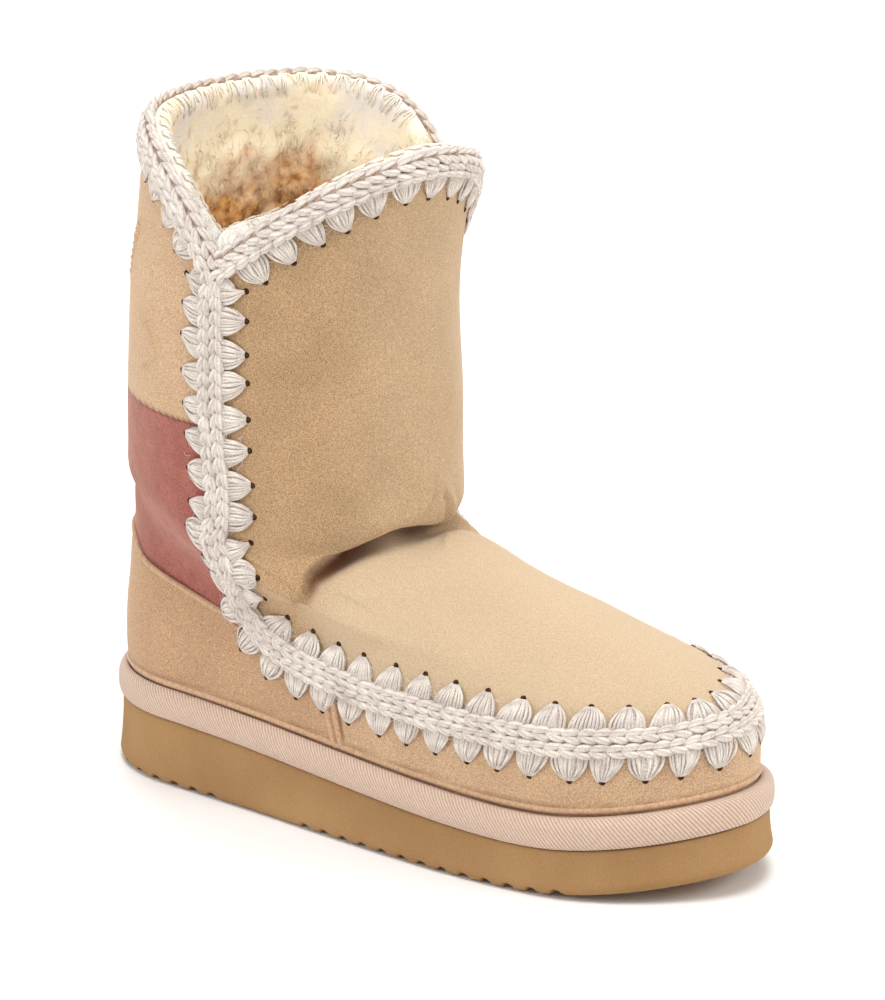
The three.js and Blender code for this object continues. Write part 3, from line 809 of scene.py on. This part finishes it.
def yarn_material():
    s = Surface("wool_yarn", 0.95, sheen=0.3, specular=0.12)
    ply = s.waves(4.4, 0.9)
    fibre = s.noise(1500, 3, 0.65)
    wool = s.tone(s.noise(120, 2), 0.38, 0.62, (220, 209, 200), (232, 224, 213))
    # Painted shade: darker in the grooves between the plies and where the fibres' bump is low.
    wool = s.darken(ply, -1, 0.0, 0.34, wool, (172, 152, 144))
    wool = s.darken(fibre, 0.32, 0.5, 0.4, wool, (182, 162, 152))
    soft = s.bump(ply, 0.4, 0.0003)
    return s.finish(wool, s.bump(fibre, 0.45, 0.0005, soft))


# Wool that turns from cream at the rim to gold lower down.
def fleece_material(name, glow):
    s = Surface(name, 1.0, sheen=0.3, specular=0.0, sheen_tint=(1, 0.9, 0.75))
    s.fill(s.shader, Subsurface_Weight=glow, Subsurface_Radius=(1.0, 0.75, 0.45), Subsurface_Scale=0.005)
    depth = s.math("ADD", s.value("depth"), s.map(s.noise(48, 3, 0.6), 0.3, 0.7, -14, 14))
    rim = s.tone(depth, -3, 12, (233, 227, 218), (250, 236, 209))
    gold = s.tone(s.noise(330, 3), 0.38, 0.62, (178, 120, 66), (230, 184, 122))
    colour = s.mix(s.map(depth, 23, 40), rim, gold)
    curl = s.noise(500, 4, 0.65)
    # Painted shade in the crevices between the curls, where the curl's bump is low.
    colour = s.darken(curl, 0.3, 0.5, 0.2, colour, (242, 214, 172))
    return s.finish(colour, s.bump(curl, 0.3, 0.001))


def welt_material():
    s = Surface("twill_welt", 0.9, sheen=0.2, specular=0.2)
    rib = s.waves(4.3, 3.4)
    thread = s.noise(1400, 3)
    colour = s.tone(rib, -1, 0.4, (188, 158, 137), (219, 197, 179))
    colour = s.darken(thread, 0.3, 0.7, 0.3, colour, (206, 170, 146))
    cloth = s.bump(rib, 0.5, 0.0003)
    return s.finish(colour, s.bump(thread, 0.2, 0.0003, cloth))


def foam_material():
    s = Surface("foam_rubber", 0.85, specular=0.15)
    pores = s.noise(2200, 2, 0.6)
    colour = s.tone(s.noise(22, 3), 0.35, 0.65, (160, 123, 82), (172, 136, 93))
    colour = s.darken(pores, 0.35, 0.6, 0.2, colour, (140, 104, 66))
    grain = s.bump(pores, 0.18, 0.0003)
    return s.finish(colour, s.bump(s.noise(45, 3), 0.1, 0.002, grain))


# Height of the rose panel's lower seam at a place along the sole.
def rose_low(s):
    return smooth(ROSE_LOW[:, 0], ROSE_LOW[:, 1], np.clip(s, 0, 100))


# Place along the sole of the rand's upright seam at a height.
def rand_start(z):
    return np.interp(z, RAND_SEAM[:, 0], RAND_SEAM[:, 1])


# The suede's columns lie closer on the outer side, and its rows over the instep.
def suede_grid():
    columns, rows = SUEDE_GRID
    share = np.linspace(0, 1, columns + 1)[:-1]
    angle = 2 * np.pi * np.interp(share, [0, 0.08, 0.68, 1], [0, 0.09, 0.6, 1])
    top = section_at(angle, collar_up(angle))
    even, full = 9.2, 13
    level = np.interp(np.linspace(0, 1, rows), [0, 0.3, 0.66, 1], [0, 6.2, even, full])[:, None]
    t = np.minimum(level, even) + np.maximum(level - even, 0) / 3.8 * (top[None] - even)
    return np.broadcast_to(angle, t.shape), t


# How far points are behind the seam between the panels, less than 0 before it.
def behind_seam(points):
    line = hide_point(SEAM_PATH.angle, SEAM_PATH.t)[::4]
    gap, _, which, _ = near_line(points, line)
    normal = hide_normal(SEAM_PATH.angle, SEAM_PATH.t)
    across = unit(np.cross(normal, SEAM_PATH.heading(SEAM_PATH.at)))[::4]
    return np.where(np.sum((points - line[which]) * across[which], axis=-1) < 0, gap, -gap)


# Painted shade in the grooves along the seams and painted shadow in the hollow under the roll over the
# instep, from 0 to 1.
def painted_hide_shade(points, behind, s, above, place):
    z = points[..., 2]
    lip = seat(s) + BAND_HEIGHT
    upright = s - rand_start(z)
    tail = np.interp(place, [0, 25], [4, 10])
    soft = np.interp(place, [0, 30], [3, 0.4])
    # The painted shadow under the lip: crisp at its top, fading below.
    hollow = ease(above / soft, 1, -1) * ease(above / tail, -1, -0.1) * ease(place, -4, 10)
    shades = [
        0.75 * bell(ROSE_TOP - z, 0.6) * (behind > 0),
        0.85 * bell(z - rose_low(s) - 1.7, 0.8) * (behind > 0),
        0.8 * bell(upright - 1.2, 0.7) * (behind > 0),
        0.35 * bell(z - lip - 3.2, 0.7),
        0.65 * bell(z - lip, 1.3),
        0.95 * hollow * ease(place, 78, 50),
    ]
    return np.max(shades, axis=0)


# The upper, with the distances that its material turns into panels, the painted shade along its seams, the
# painted shadow under the instep's roll, and the painted highlight on its vamp and front.
def upper_suede(material):
    turn, t = suede_grid()
    points = off_suede(turn, t, 0)
    plain = hide_point(turn, t)
    behind = behind_seam(plain)
    s, z = along_sole(plain[..., 1]), plain[..., 2]
    rose = np.minimum(np.minimum(ROSE_TOP - z, z - rose_low(s)), behind)
    before_rand = rand_start(z) - s
    above, _, place = beside_lip(plain)
    # Painted highlight on the vamp's top below the roll, and more faintly over the whole front.
    vamp = np.maximum(ease(above, 2, -6) * ease(s, 90, 125), ease(s, 126, 140)) * ease(z, 113, 105)
    front_highlight = 0.4 * ease(turn, 2.2, 2.9) * ease(turn, 4.2, 3.7)
    painted_highlight = np.maximum(vamp, front_highlight) * ease(-behind, 0, 6)
    values = {
        "rose": rose,
        "rand": np.minimum(np.minimum(behind, rose_low(s) - z), before_rand),
        "behind": behind,
        "shade": painted_hide_shade(plain, behind, s, above, place),
        # The nap's dots and painted glints are weaker under the painted highlight.
        "grain": 1 - 0.55 * painted_highlight,
        "painted_highlight": painted_highlight,
    }
    values = {key: np.concatenate([value, value[-1:]]) for key, value in values.items()}
    inner = plain[-1:] - hide_normal(turn[-1:], t[-1:]) * HIDE_THICKNESS
    shell = lattice("upper_suede", np.concatenate([points, inner]), material, wrap=True, values=values)
    keep(shell, "suede", "upper")


# A low rounded ridge that follows places on the suede.
def ridge(name, angle, t, half, height, material):
    sunk = 0.3
    line = hide_point(angle, t)
    normal = hide_normal(angle, t)
    across = unit(np.cross(normal, unit(np.gradient(line, axis=0))))
    base = line + normal * (relief(angle, t) - sunk)[:, None]
    turn = np.linspace(0, np.pi, 9)[:, None]
    count = np.arange(len(angle))
    taper = ease(np.minimum(count, len(angle) - 1 - count), -1, 6)[:, None, None]
    out = normal[:, None] * (np.sin(turn) * (height + sunk)) * taper
    points = base[:, None] + across[:, None] * (np.cos(turn) * half) + out
    keep(lattice(name, points, material), "suede")


# The turn on one side at which a height of the hide lies at a distance along the sole.
def turn_at(s, z, sign):
    def short(turn):
        return along_sole(hide_point(turn * sign, section_at(turn * sign, z))[..., 1]) < s

    return turning_value(np.full(len(z), 0.5), np.full(len(z), 2.4), short) * sign


# Seams of the heel: under the rose panel, up the rand on both sides, and just over the welt.
def hide_seams(material):
    for side, sign in (("outer", 1), ("inner", -1)):
        angle = np.radians(np.linspace(1, 96, 126)) * sign
        s = along_sole(hide_point(angle, section_at(angle, 75))[..., 1])
        ridge("heel_seam_" + side, angle, section_at(angle, rose_low(s)), 1.1, 0.9, material)
        z = np.linspace(31, 52, 40)
        for name, ahead in (("a", -0.5), ("b", -4.0)):
            turn = turn_at(rand_start(z) + ahead, z, sign)
            ridge(f"rand_seam_{side}_{name}", turn, section_at(turn, z), 1.25, 0.9, material)
    angle = np.linspace(0, 2 * np.pi, 600)
    height = seat(along_sole(outline_point(angle, 0)[..., 1])) + BAND_HEIGHT + SEAM_OVER_BAND
    ridge("welt_seam", angle, section_at(angle, height), 1.1, 0.65, material)


# Two plump leaves for every stitch of a chain. Each starts in the last stitch and dives under the next.
def chain_loops(point, up, length, middle, phase):
    count = int(round(length / STITCH_PITCH))
    u = np.linspace(0, 1, 9)
    start = (np.arange(count) + phase) * length / count
    centres, ups = [], []
    for side in (-1, 1):
        s = start[:, None] + (1.35 * u - 0.2)[None] * STITCH_PITCH
        s = s + 0.2 * chance.standard_normal((count, 1))
        d = middle + side * (0.25 + 1.6 * u**0.75 - 0.25 * u**4)[None]
        d = d + 0.12 * chance.standard_normal((count, 1))
        out = (1.0 + 1.5 * np.sin(np.pi * (0.14 + 0.8 * u)) ** 1.2 - 0.5 * u)[None] + 0 * s
        centres.append(point(s, d, out))
        ups.append(up(s, d))
    radius = 0.45 + 0.95 * np.sin(np.pi * (0.04 + 0.9 * u)) ** 0.8
    radius = radius * (1 + 0.07 * chance.standard_normal((2 * count, 1)))
    return np.concatenate(centres), np.concatenate(ups), radius


# A chain's leaves, and the core that closes the gaps between them.
def chain(name, point, up, length, middle, materials, phase=0.0, nodes=()):
    centres, ups, radius = chain_loops(point, up, length, middle, phase)
    keep(strands(name, centres, ups, radius, 0.9 * radius, 8, materials[0]), "yarn", *nodes)
    s = np.linspace(0, length, int(length / 2.2))[None]
    d = np.full(s.shape, float(middle))
    core = strands(name + "_core", point(s, d, 0.7 + 0 * s), up(s, d), 2.5, 1.3, 10, materials[1])
    keep(core, "yarn")


# Places along a path for its fans, evenly spaced where the fans are widest, and the path's length for each.
def fan_places(path, side):
    s = np.linspace(0, path.length, 700)
    line = path.point(s, side * (0.5 * CHAIN_WIDTH + 0.5 * FAN_REACH), 0)
    step = np.linalg.norm(np.diff(line, axis=0), axis=1)
    row = path.place(s)[1][1:]
    pitch = np.where(row < FOOT_TOP, FOOT_FAN_PITCH, SHAFT_FAN_PITCH)
    number = np.concatenate([[0], np.cumsum(step / pitch)])
    count = int(round(number[-1]))
    wanted = (np.arange(-1, count + 2) + 0.5) * number[-1] / count
    laps = np.floor(wanted / number[-1])
    places = np.interp(wanted - laps * number[-1], number, s) + laps * path.length
    return places[1:-1][:count], ((places[2:] - places[:-2]) / 2)[:count]


# Strands that gather from the chain into one pinhole, with a little play in each.
def fan_strands(path, side, s0, room, skew, count=10):
    u = np.linspace(0, 1, 9)
    s, d, out, half = fan_form(side, s0, room, skew, np.linspace(-1, 1, count), u)
    wave = 0.16 * chance.standard_normal((len(s0), count, 1)) * np.sin(np.pi * u)
    s, out = s + 2.2 * wave, out + wave
    wide = np.clip(0.6 * (2 * half / (count - 1)), 0.4, 0.85)
    wide = wide * (1 + 0.1 * chance.standard_normal((len(s0), count, 1)))
    return path.point(s, d, out), path.up(s, d), wide


# Where a fan's strands run: q from -1 to 1 over the fan and u from the chain to the pinhole.
def fan_form(side, s0, room, skew, q, u):
    close = u**2.4
    half = 0.41 * FAN_ROOM * (1 - close) + 1.1 * close
    stretch = (room / FAN_ROOM)[:, None, None]
    lean = (skew * FAN_ROOM)[:, None, None] * u
    s = s0[:, None, None] + stretch * (q[:, None] * half[None] + lean)
    base = 0.3 * CHAIN_WIDTH
    d = side * (base + (0.5 * CHAIN_WIDTH + FAN_REACH - base) * u) + 0 * s
    crown = 1 - 0.5 * q[:, None] ** 2
    out = 0.35 + 1.7 * crown * np.sin(np.pi * (0.3 + 0.68 * u)) ** 0.8 + 0 * s
    return s, d, out, half


# A bed under each fan closes the gaps between its strands.
def fan_beds(name, path, side, s0, room, skew, material):
    q = np.linspace(-1.08, 1.08, 9)
    s, d, out, _ = fan_form(side, s0, room, skew, q, np.linspace(0, 0.97, 7))
    rise = out * (1 - np.abs(q[:, None]) ** 6 * 0.8) - 0.2
    keep(lattice(name, path.point(s, d, rise), material), "yarn")


# Short stray fibres over a path.
def stray_fibres(point, length, count, width, spread=(2.5, 6)):
    s = chance.uniform(2, length - 2, (count, 1))
    d = chance.uniform(-width, width, (count, 1))
    reach = chance.uniform(*spread, (count, 1))
    way = chance.uniform(0, 2 * np.pi, (count, 1))
    lift = chance.uniform(0.2, 1.0, (count, 1))
    u = np.linspace(0, 1, 5)
    turn = way + chance.uniform(-1.2, 1.2, (count, 1)) * u
    out = 2.6 * bell(d, 4.5) + 0.3 + lift * 1.6 * np.sin(0.75 * np.pi * u)
    s, d = s + reach * u * np.cos(turn), d + 0.5 * reach * u * np.sin(turn)
    return point(np.clip(s, 0.5, length - 0.5), d, out)


def loose_wool(name, centres, radius, material, slot):
    taper = radius * (1 - 0.6 * np.linspace(0, 1, centres.shape[1]) ** 2)
    keep(strands(name, centres, FUZZ_LIFT, taper, taper, 3, material), slot)


# Chain and fans round one panel, with a pinhole at each fan's tip.
def panel_crochet(label, path, side, yarn, dark, nodes):
    phase = 0.5 * (side > 0)
    chain(label + "_chain", path.point, path.up, path.length, 0.0, (yarn, yarn), phase, nodes)
    s0, room = fan_places(path, side)
    turn, row = path.place(s0)
    lean = np.where(row < VAMP_TOP, VAMP_LEAN[side], SHAFT_LEAN)
    skew = lean * np.where(turn % (2 * np.pi) < np.pi, 1, -1)
    skew = np.where(row > COLLAR_START, 0, skew) + LEAN_PLAY * chance.standard_normal(len(s0))
    room = room * (1 + ROOM_PLAY * chance.standard_normal(len(s0)))
    centres, ups, wide = fan_strands(path, side, s0, room, skew)
    keep(strands(label + "_fans", centres, ups, wide, 0.85 * wide, 6, yarn), "yarn")
    fan_beds(label + "_fan_beds", path, side, s0, room, skew, yarn)
    tip, far = s0 + skew * room, side * (0.5 * CHAIN_WIDTH + FAN_REACH + 0.5)
    pinholes(label + "_pinholes", path.point(tip, far, 0), path.up(tip, far), dark)
    fuzz = stray_fibres(path.point, path.length, FUZZ_COUNT, FUZZ_SPREAD)
    loose_wool(label + "_fuzz", fuzz, FUZZ_RADIUS, yarn, "yarn")


# Small domes coloured as painted shade where a fan's strands go through the hide.
def pinholes(name, centres, normals, material, radius=1.15):
    around = unit(np.cross(normals, (0.31, 0.22, 0.92)))
    other = np.cross(normals, around)
    turn = round_turns(12)[:, None]
    flat = around[:, None] * np.cos(turn) + other[:, None] * np.sin(turn)
    rings = []
    for share, out in ((1.0, 0.0), (0.8, 0.22), (0.45, 0.36), (0.02, 0.4)):
        rings.append(centres[:, None] + flat * radius * share + normals[:, None] * out)
    keep(lattice(name, np.stack(rings, axis=1), material, wrap=True), "suede")


# The chain on the rim, over a core in a painted shade colour that shows as shadow between its links, and the
# tufts that hang inside.
def collar_crochet(yarn, shaded, wool):
    rim = (collar_point, collar_out, COLLAR_PATH.length, RIM_CHAIN)
    chain("rim_chain", *rim, (yarn, shaded), 0.25, ["collar_trim"])
    collar_fringe(wool)


# Length of rim from each place to the nearest notch.
def from_notch(s):
    angle = np.interp(np.mod(s, COLLAR_PATH.length), COLLAR_PATH.at, COLLAR_PATH.angle)
    near = np.minimum(np.abs(turned(angle - OUTER_NOTCH)), np.abs(turned(angle - INNER_NOTCH)))
    return near * SHAFT_WIDTH / 2


# Short tufts inside the collar, gathered at the rim and spread below. The notches have none.
def collar_fringe(yarn, each=7):
    count = int(round(COLLAR_PATH.length / FRINGE_PITCH))
    s0 = (np.arange(count) + 0.5) * COLLAR_PATH.length / count
    s0 = s0[from_notch(s0) > FRINGE_GAP][:, None, None]
    q = np.linspace(-1, 1, each)[:, None]
    u = np.linspace(0, 1, 7)
    half = (0.16 + 0.38 * u**0.8) * FRINGE_PITCH
    s = s0 + q * half + 1.0 * chance.standard_normal((len(s0), each, 1)) * u
    reach = chance.uniform(3, 9, (len(s0), each, 1))
    d = RIM_CHAIN - 0.72 * CHAIN_WIDTH - reach * u + 0 * s
    out = 0.2 + 0.5 * np.sin(np.pi * (0.22 + 0.74 * u)) + 0 * s
    radius = 0.46 - 0.32 * u
    centres, ups = collar_point(s, d, out), collar_out(s, d)
    keep(strands("collar_fringe", centres, ups, radius, radius, 5, yarn), "yarn")


# The wool's face behind the hide, in soft curls, with its depth below the collar.
def fleece_face(angle, t, out=0.0):
    points = hide_point(angle, t)
    below = collar_up(angle) - points[..., 2]
    depth = RIM_PILE + (PILE_DEPTH - RIM_PILE + 0.5) * ease(below, 8, 26)
    full = depth + wool_lumps(points) * ease(below, 8, 26) + out
    return points - hide_normal(angle, t) * (HIDE_THICKNESS + PILE_GAP + full)[..., None], below


def wool_lumps(points):
    x, y, z = np.moveaxis(points, -1, 0)
    large = np.sin(x / 4.1 + 2 * np.sin(z / 6.3)) * np.sin(y / 3.9 + 2 * np.sin(x / 7.1))
    small = np.sin(x / 1.9 - z / 2.3) * np.sin(y / 2.1 + z / 2.1)
    return 1.3 * (large * np.sin(z / 4.3 + y / 8)) + 0.5 * small


# The wool from the insole up and over the rim, in one sheet, with loose locks on it.
def fleece(material, fibre):
    columns, rows = FLEECE_GRID
    angle = round_turns(columns)
    top = section_at(angle, collar_up(angle) - ROLL_DROP)
    t = 0.15 + np.linspace(0, 1, rows)[:, None] * (top[None] - 0.15)
    face, below = fleece_face(np.broadcast_to(angle, t.shape), t)
    s = np.interp(angle, COLLAR_PATH.angle, COLLAR_PATH.at)
    d = -np.linspace(17, 1.5, ROLL_ROWS)[:, None] + 0 * s
    s = s + 0 * d
    plain = collar_point(s, d, 0 * d)
    roll = collar_point(s, d, notch_puff(s, d) + 0.3 * wool_lumps(plain) * ease(-d, 3, 10))
    points = np.concatenate([face, roll])[::-1]
    depth = np.concatenate([below, np.maximum(0, -d - 8)])[::-1]
    shell = lattice("fleece_wool", points, material, wrap=True, values={"depth": depth})
    keep(shell, "fleece", "fleece_lining")
    fleece_locks(fibre)
    notch_wool(fibre)


# The wool swells out of each notch, a little towards the toe.
def notch_puff(s, d):
    forward = np.where(s < COLLAR_PATH.length / 2, 8, -8)
    return NOTCH_PUFF * (bell(from_notch(s - forward), 12) * bell(d + 7, 4.2))


# Fine curls over the swell of wool at each notch.
def notch_wool(material):
    for name, turn in (("outer", OUTER_NOTCH), ("inner", INNER_NOTCH)):
        middle = np.interp(turn % (2 * np.pi), COLLAR_PATH.angle, COLLAR_PATH.at)

        def point(s, d, out):
            s, d = s + middle - 32, np.minimum(d - 9.5, -2.5)
            return collar_point(s, d, notch_puff(s, d) - 0.3 + 0.35 * out)

        curls = stray_fibres(point, 64, NOTCH_CURLS, 8, (2.5, 5.5))
        loose_wool("notch_wool_" + name, curls, 0.13, material, "fleece")


# Fine locks of wool inside the leg. A lock's fibres start apart and gather at its tip.
def fleece_locks(material):
    u = np.linspace(0, 1, 5)
    radius = 0.14 * (1 - 0.5 * u)
    for name, locks, low, high in WOOL_LOCKS:
        angle = chance.uniform(0, 2 * np.pi, (locks, 1, 1))
        below = chance.uniform(low, high, (locks, 1, 1))
        t = section_at(angle, collar_up(angle) - below)
        root = chance.normal(0, 2.2, (2, locks, LOCK_FIBRES, 1)) * (1 - 0.6 * u)
        way = chance.normal(0, 1.8, (2, locks, 1, 1)) * u**1.5
        curl = 0.7 * np.sin(5 * u + chance.uniform(0, 6, (2, locks, LOCK_FIBRES, 1))) * u
        offset = root + way + curl
        around = angle + 2 / SHAFT_WIDTH * offset[0]
        climb = np.clip(t + 0.07 * offset[1], 0.3, section_at(around, collar_up(around) - 6))
        lift = -0.3 + 1.0 * u * chance.uniform(0.4, 1.0, (locks, 1, 1))
        centres, depth = fleece_face(around, climb, lift)
        curls = strands(name, centres, WOOL_LIFT, radius, radius, 3, material, {"depth": depth})
        keep(curls, "fleece")


# The insole's wool: a rounded edge, then rings that close towards its middle line.
def insole(material):
    angle = round_turns(INSOLE_COLUMNS)
    x, y = outline_point(angle, -(FEATHER_INSET + HIDE_THICKNESS + PILE_GAP + PILE_DEPTH + INSOLE_GAP)).T
    middle, top = x.mean(), seat(along_sole(y)) + INSOLE_THICKNESS
    shares = (1.0, 1.0, 0.98, 0.9, 0.7, 0.5, 0.3, 0.1, 0.01)
    rows = []
    for share, drop in zip(shares, (3.0, 1.0, 0.3, 0, 0, 0, 0, 0, 0)):
        across = middle + (x - middle) * share
        lump = 0.35 * np.sin(across / 2.3) * np.sin(y / 2.7) + 0.25 * np.sin(across / 1.3 + y / 1.6)
        rows.append(np.stack([across, y, top - drop + lump - 0.4], axis=-1))
    depth = np.full((len(rows), INSOLE_COLUMNS), 48.0)
    wool = lattice("insole_wool", np.stack(rows), material, wrap=True, values={"depth": depth})
    keep(wool, "fleece", "insole")


# Depth of the tread's round grooves at a place along the sole.
def groove_depth(s):
    depth = np.zeros(np.shape(s))
    for start, count in (HEEL_TREAD, FORE_TREAD):
        for k in range(count):
            away = s - start - k * GROOVE_PITCH
            depth = np.maximum(depth, np.sqrt(np.maximum(0, GROOVE_RADIUS**2 - away**2)))
    return depth


# The sole's sides, from the round lower edge up, and the plates that close it below and above.
def outsole(material):
    rows = []
    for turn in np.linspace(0, np.pi / 2, 6):
        offset = SIDE_FLARE - EDGE_ROUND * (1 - np.sin(turn))
        rows.append((offset, EDGE_ROUND * (1 - np.cos(turn)), 0.0))
    for share in (0.15, 0.3, 0.5, 0.7, 0.85, 0.95):
        rows.append((SIDE_FLARE * (1 - share) - 0.35 * math.sin(math.pi * share), 0.0, share))
    rows += [(-0.3, 0.0, 0.985), (-1.0, 0.0, 1.0)]
    grid = []
    for offset, up, share in rows:
        x, y = outline_point(round_turns(OUTSOLE_COLUMNS), offset).T
        s = along_sole(y)
        low = sole_bottom(s) + EDGE_ROUND
        z = np.where(share > 0, low + (sole_top(s) - low) * share, sole_bottom(s) + up)
        grid.append(np.stack([x, y, np.maximum(z, sole_bottom(s) + groove_depth(s))], axis=-1))
    keep(lattice("outsole_foam", np.stack(grid), material, wrap=True), "outsole", "outsole")
    across = np.linspace(0, 1, 9)[:, None, None]
    for name, ring, way in (("outsole_tread", grid[0], 1), ("outsole_bed", grid[-1], -1)):
        middle = OUTSOLE_COLUMNS // 2
        half = ring[: middle + 1]
        other = np.concatenate([ring[:1], ring[: middle - 1 : -1]])
        plate = half[None] + (other - half)[None] * across
        keep(lattice(name, plate[::way], material), "outsole")


# The twill binding: out from under the upper, round its edge and back up the hide.
def welt(material):
    angle = round_turns(WELT_COLUMNS)
    profile = [
        (-3.6, 0.0), (-0.2, 0.0), (0.6, 0.02), (1.15, 0.1), (1.5, 0.22), (BAND_OVERHANG, 0.36),
        (BAND_OVERHANG, 0.52), (1.45, 0.66), (1.1, 0.79), (0.5, 0.89), (-0.3, 0.96), (-1.2, 1.0),
    ]
    rows = []
    for offset, share in profile:
        x, y = outline_point(angle, offset).T
        rows.append(np.stack([x, y, seat(along_sole(y)) + share * BAND_HEIGHT], axis=-1))
    foot = seat(along_sole(outline_point(angle, 0)[:, 1]))
    for share, out in ((0.97, 0.35), (0.85, 0.1), (0.5, 0.15)):
        z = foot + share * BAND_HEIGHT
        wall = off_hide(angle, section_at(angle, z), out)
        wall[:, 2] = z
        rows.append(wall)
    keep(lattice("welt_twill", np.stack(rows), material, wrap=True), "welt", "welt_band")


def stage():
    pale = Surface("floor_paint", 0.7, specular=0.2)
    floor = bpy.data.meshes.new("floor")
    size = 6.0
    corners = [(-size, -size, 0), (size, -size, 0), (size, size, 0), (-size, size, 0)]
    floor.from_pydata(corners, [], [(0, 1, 2, 3)])
    paint = pale.mix(pale.noise(3, 2), linear(247, 246, 244), linear(250, 249, 248))
    floor.materials.append(pale.finish(paint))
    ground = new_object("floor", floor)
    ground.location.z = -0.0002


# Puts a lamp or camera at a place and turns it towards another.
def aim_from(item, place, target):
    item.location = place
    item.rotation_mode = "QUATERNION"
    item.rotation_quaternion = (Vector(target) - Vector(place)).to_track_quat("-Z", "Y")


def area_light(name, place, target, size, power, colour=(1, 1, 1)):
    light = bpy.data.lights.new(name, "AREA")
    light.shape = "DISK"
    light.size, light.energy, light.color = size, power, colour
    aim_from(new_object(name, light), place, target)


def lights():
    world = bpy.data.worlds.new("studio")
    world.use_nodes = True
    sky = world.node_tree.nodes["Background"].inputs
    sky["Color"].default_value = (1, 1, 1, 1)
    sky["Strength"].default_value = 0.5
    bpy.context.scene.world = world
    boot = (0, 0, 0.11)
    area_light("key", (0.75, -1.75, 1.25), boot, 0.9, 15.5, (1, 0.985, 0.96))
    area_light("top", (-0.5, -0.45, 1.75), boot, 1.0, 19)
    area_light("side", (-1.7, 1.0, 0.95), boot, 0.9, 13, (0.99, 0.99, 1))
    area_light("front", (-1.7, -1.7, 1.3), boot, 1.2, 4)
    area_light("backdrop", (1.9, 1.5, 1.9), (1.9, 1.5, 0), 2.2, 70)
    bpy.context.scene.view_settings.view_transform = "Standard"


# The camera keeps the photo's direction and distance, and is turned so that the one boot fills the frame.
def camera():
    azimuth, elevation, distance = math.radians(-52.4), math.radians(18.9), 2.3
    level = math.cos(elevation)
    back = Vector((math.sin(azimuth) * level, -math.cos(azimuth) * level, math.sin(elevation)))
    lens = bpy.data.cameras.new("camera")
    lens.lens = 240
    lens.clip_start, lens.clip_end = 0.05, 30
    shot = new_object("camera", lens)
    aim_from(shot, Vector((0, 0, 0.06)) + back * distance, (0, 0, 0.112))
    bpy.context.scene.camera = shot


camera()
lights()
stage()
edge = mottled("suede_edge", 0.95, 0.3, 0.15, 900, (182, 144, 111), (204, 168, 134))
# Painted shade: brown wool for the rim chain's core, seen as shadow between its stitches.
shaded = mottled("wool_in_shade", 1.0, 0.0, 0.0, 700, (146, 118, 98), (188, 166, 150))
dark = hole_material()
yarn = yarn_material()
wool = fleece_material("sheep_fleece", 0.6)
fibre = fleece_material("fleece_fibre", 0.0)
upper_suede(suede_material())
hide_seams(edge)
panel_crochet("front", FRONT_PATH, 1, yarn, dark, ["seam_trim"])
panel_crochet("back", BACK_PATH, -1, yarn, dark, [])
collar_crochet(yarn, shaded, fibre)
fleece(wool, fibre)
insole(wool)
outsole(foam_material())
welt(welt_material())

bpy.context.view_layer.update()
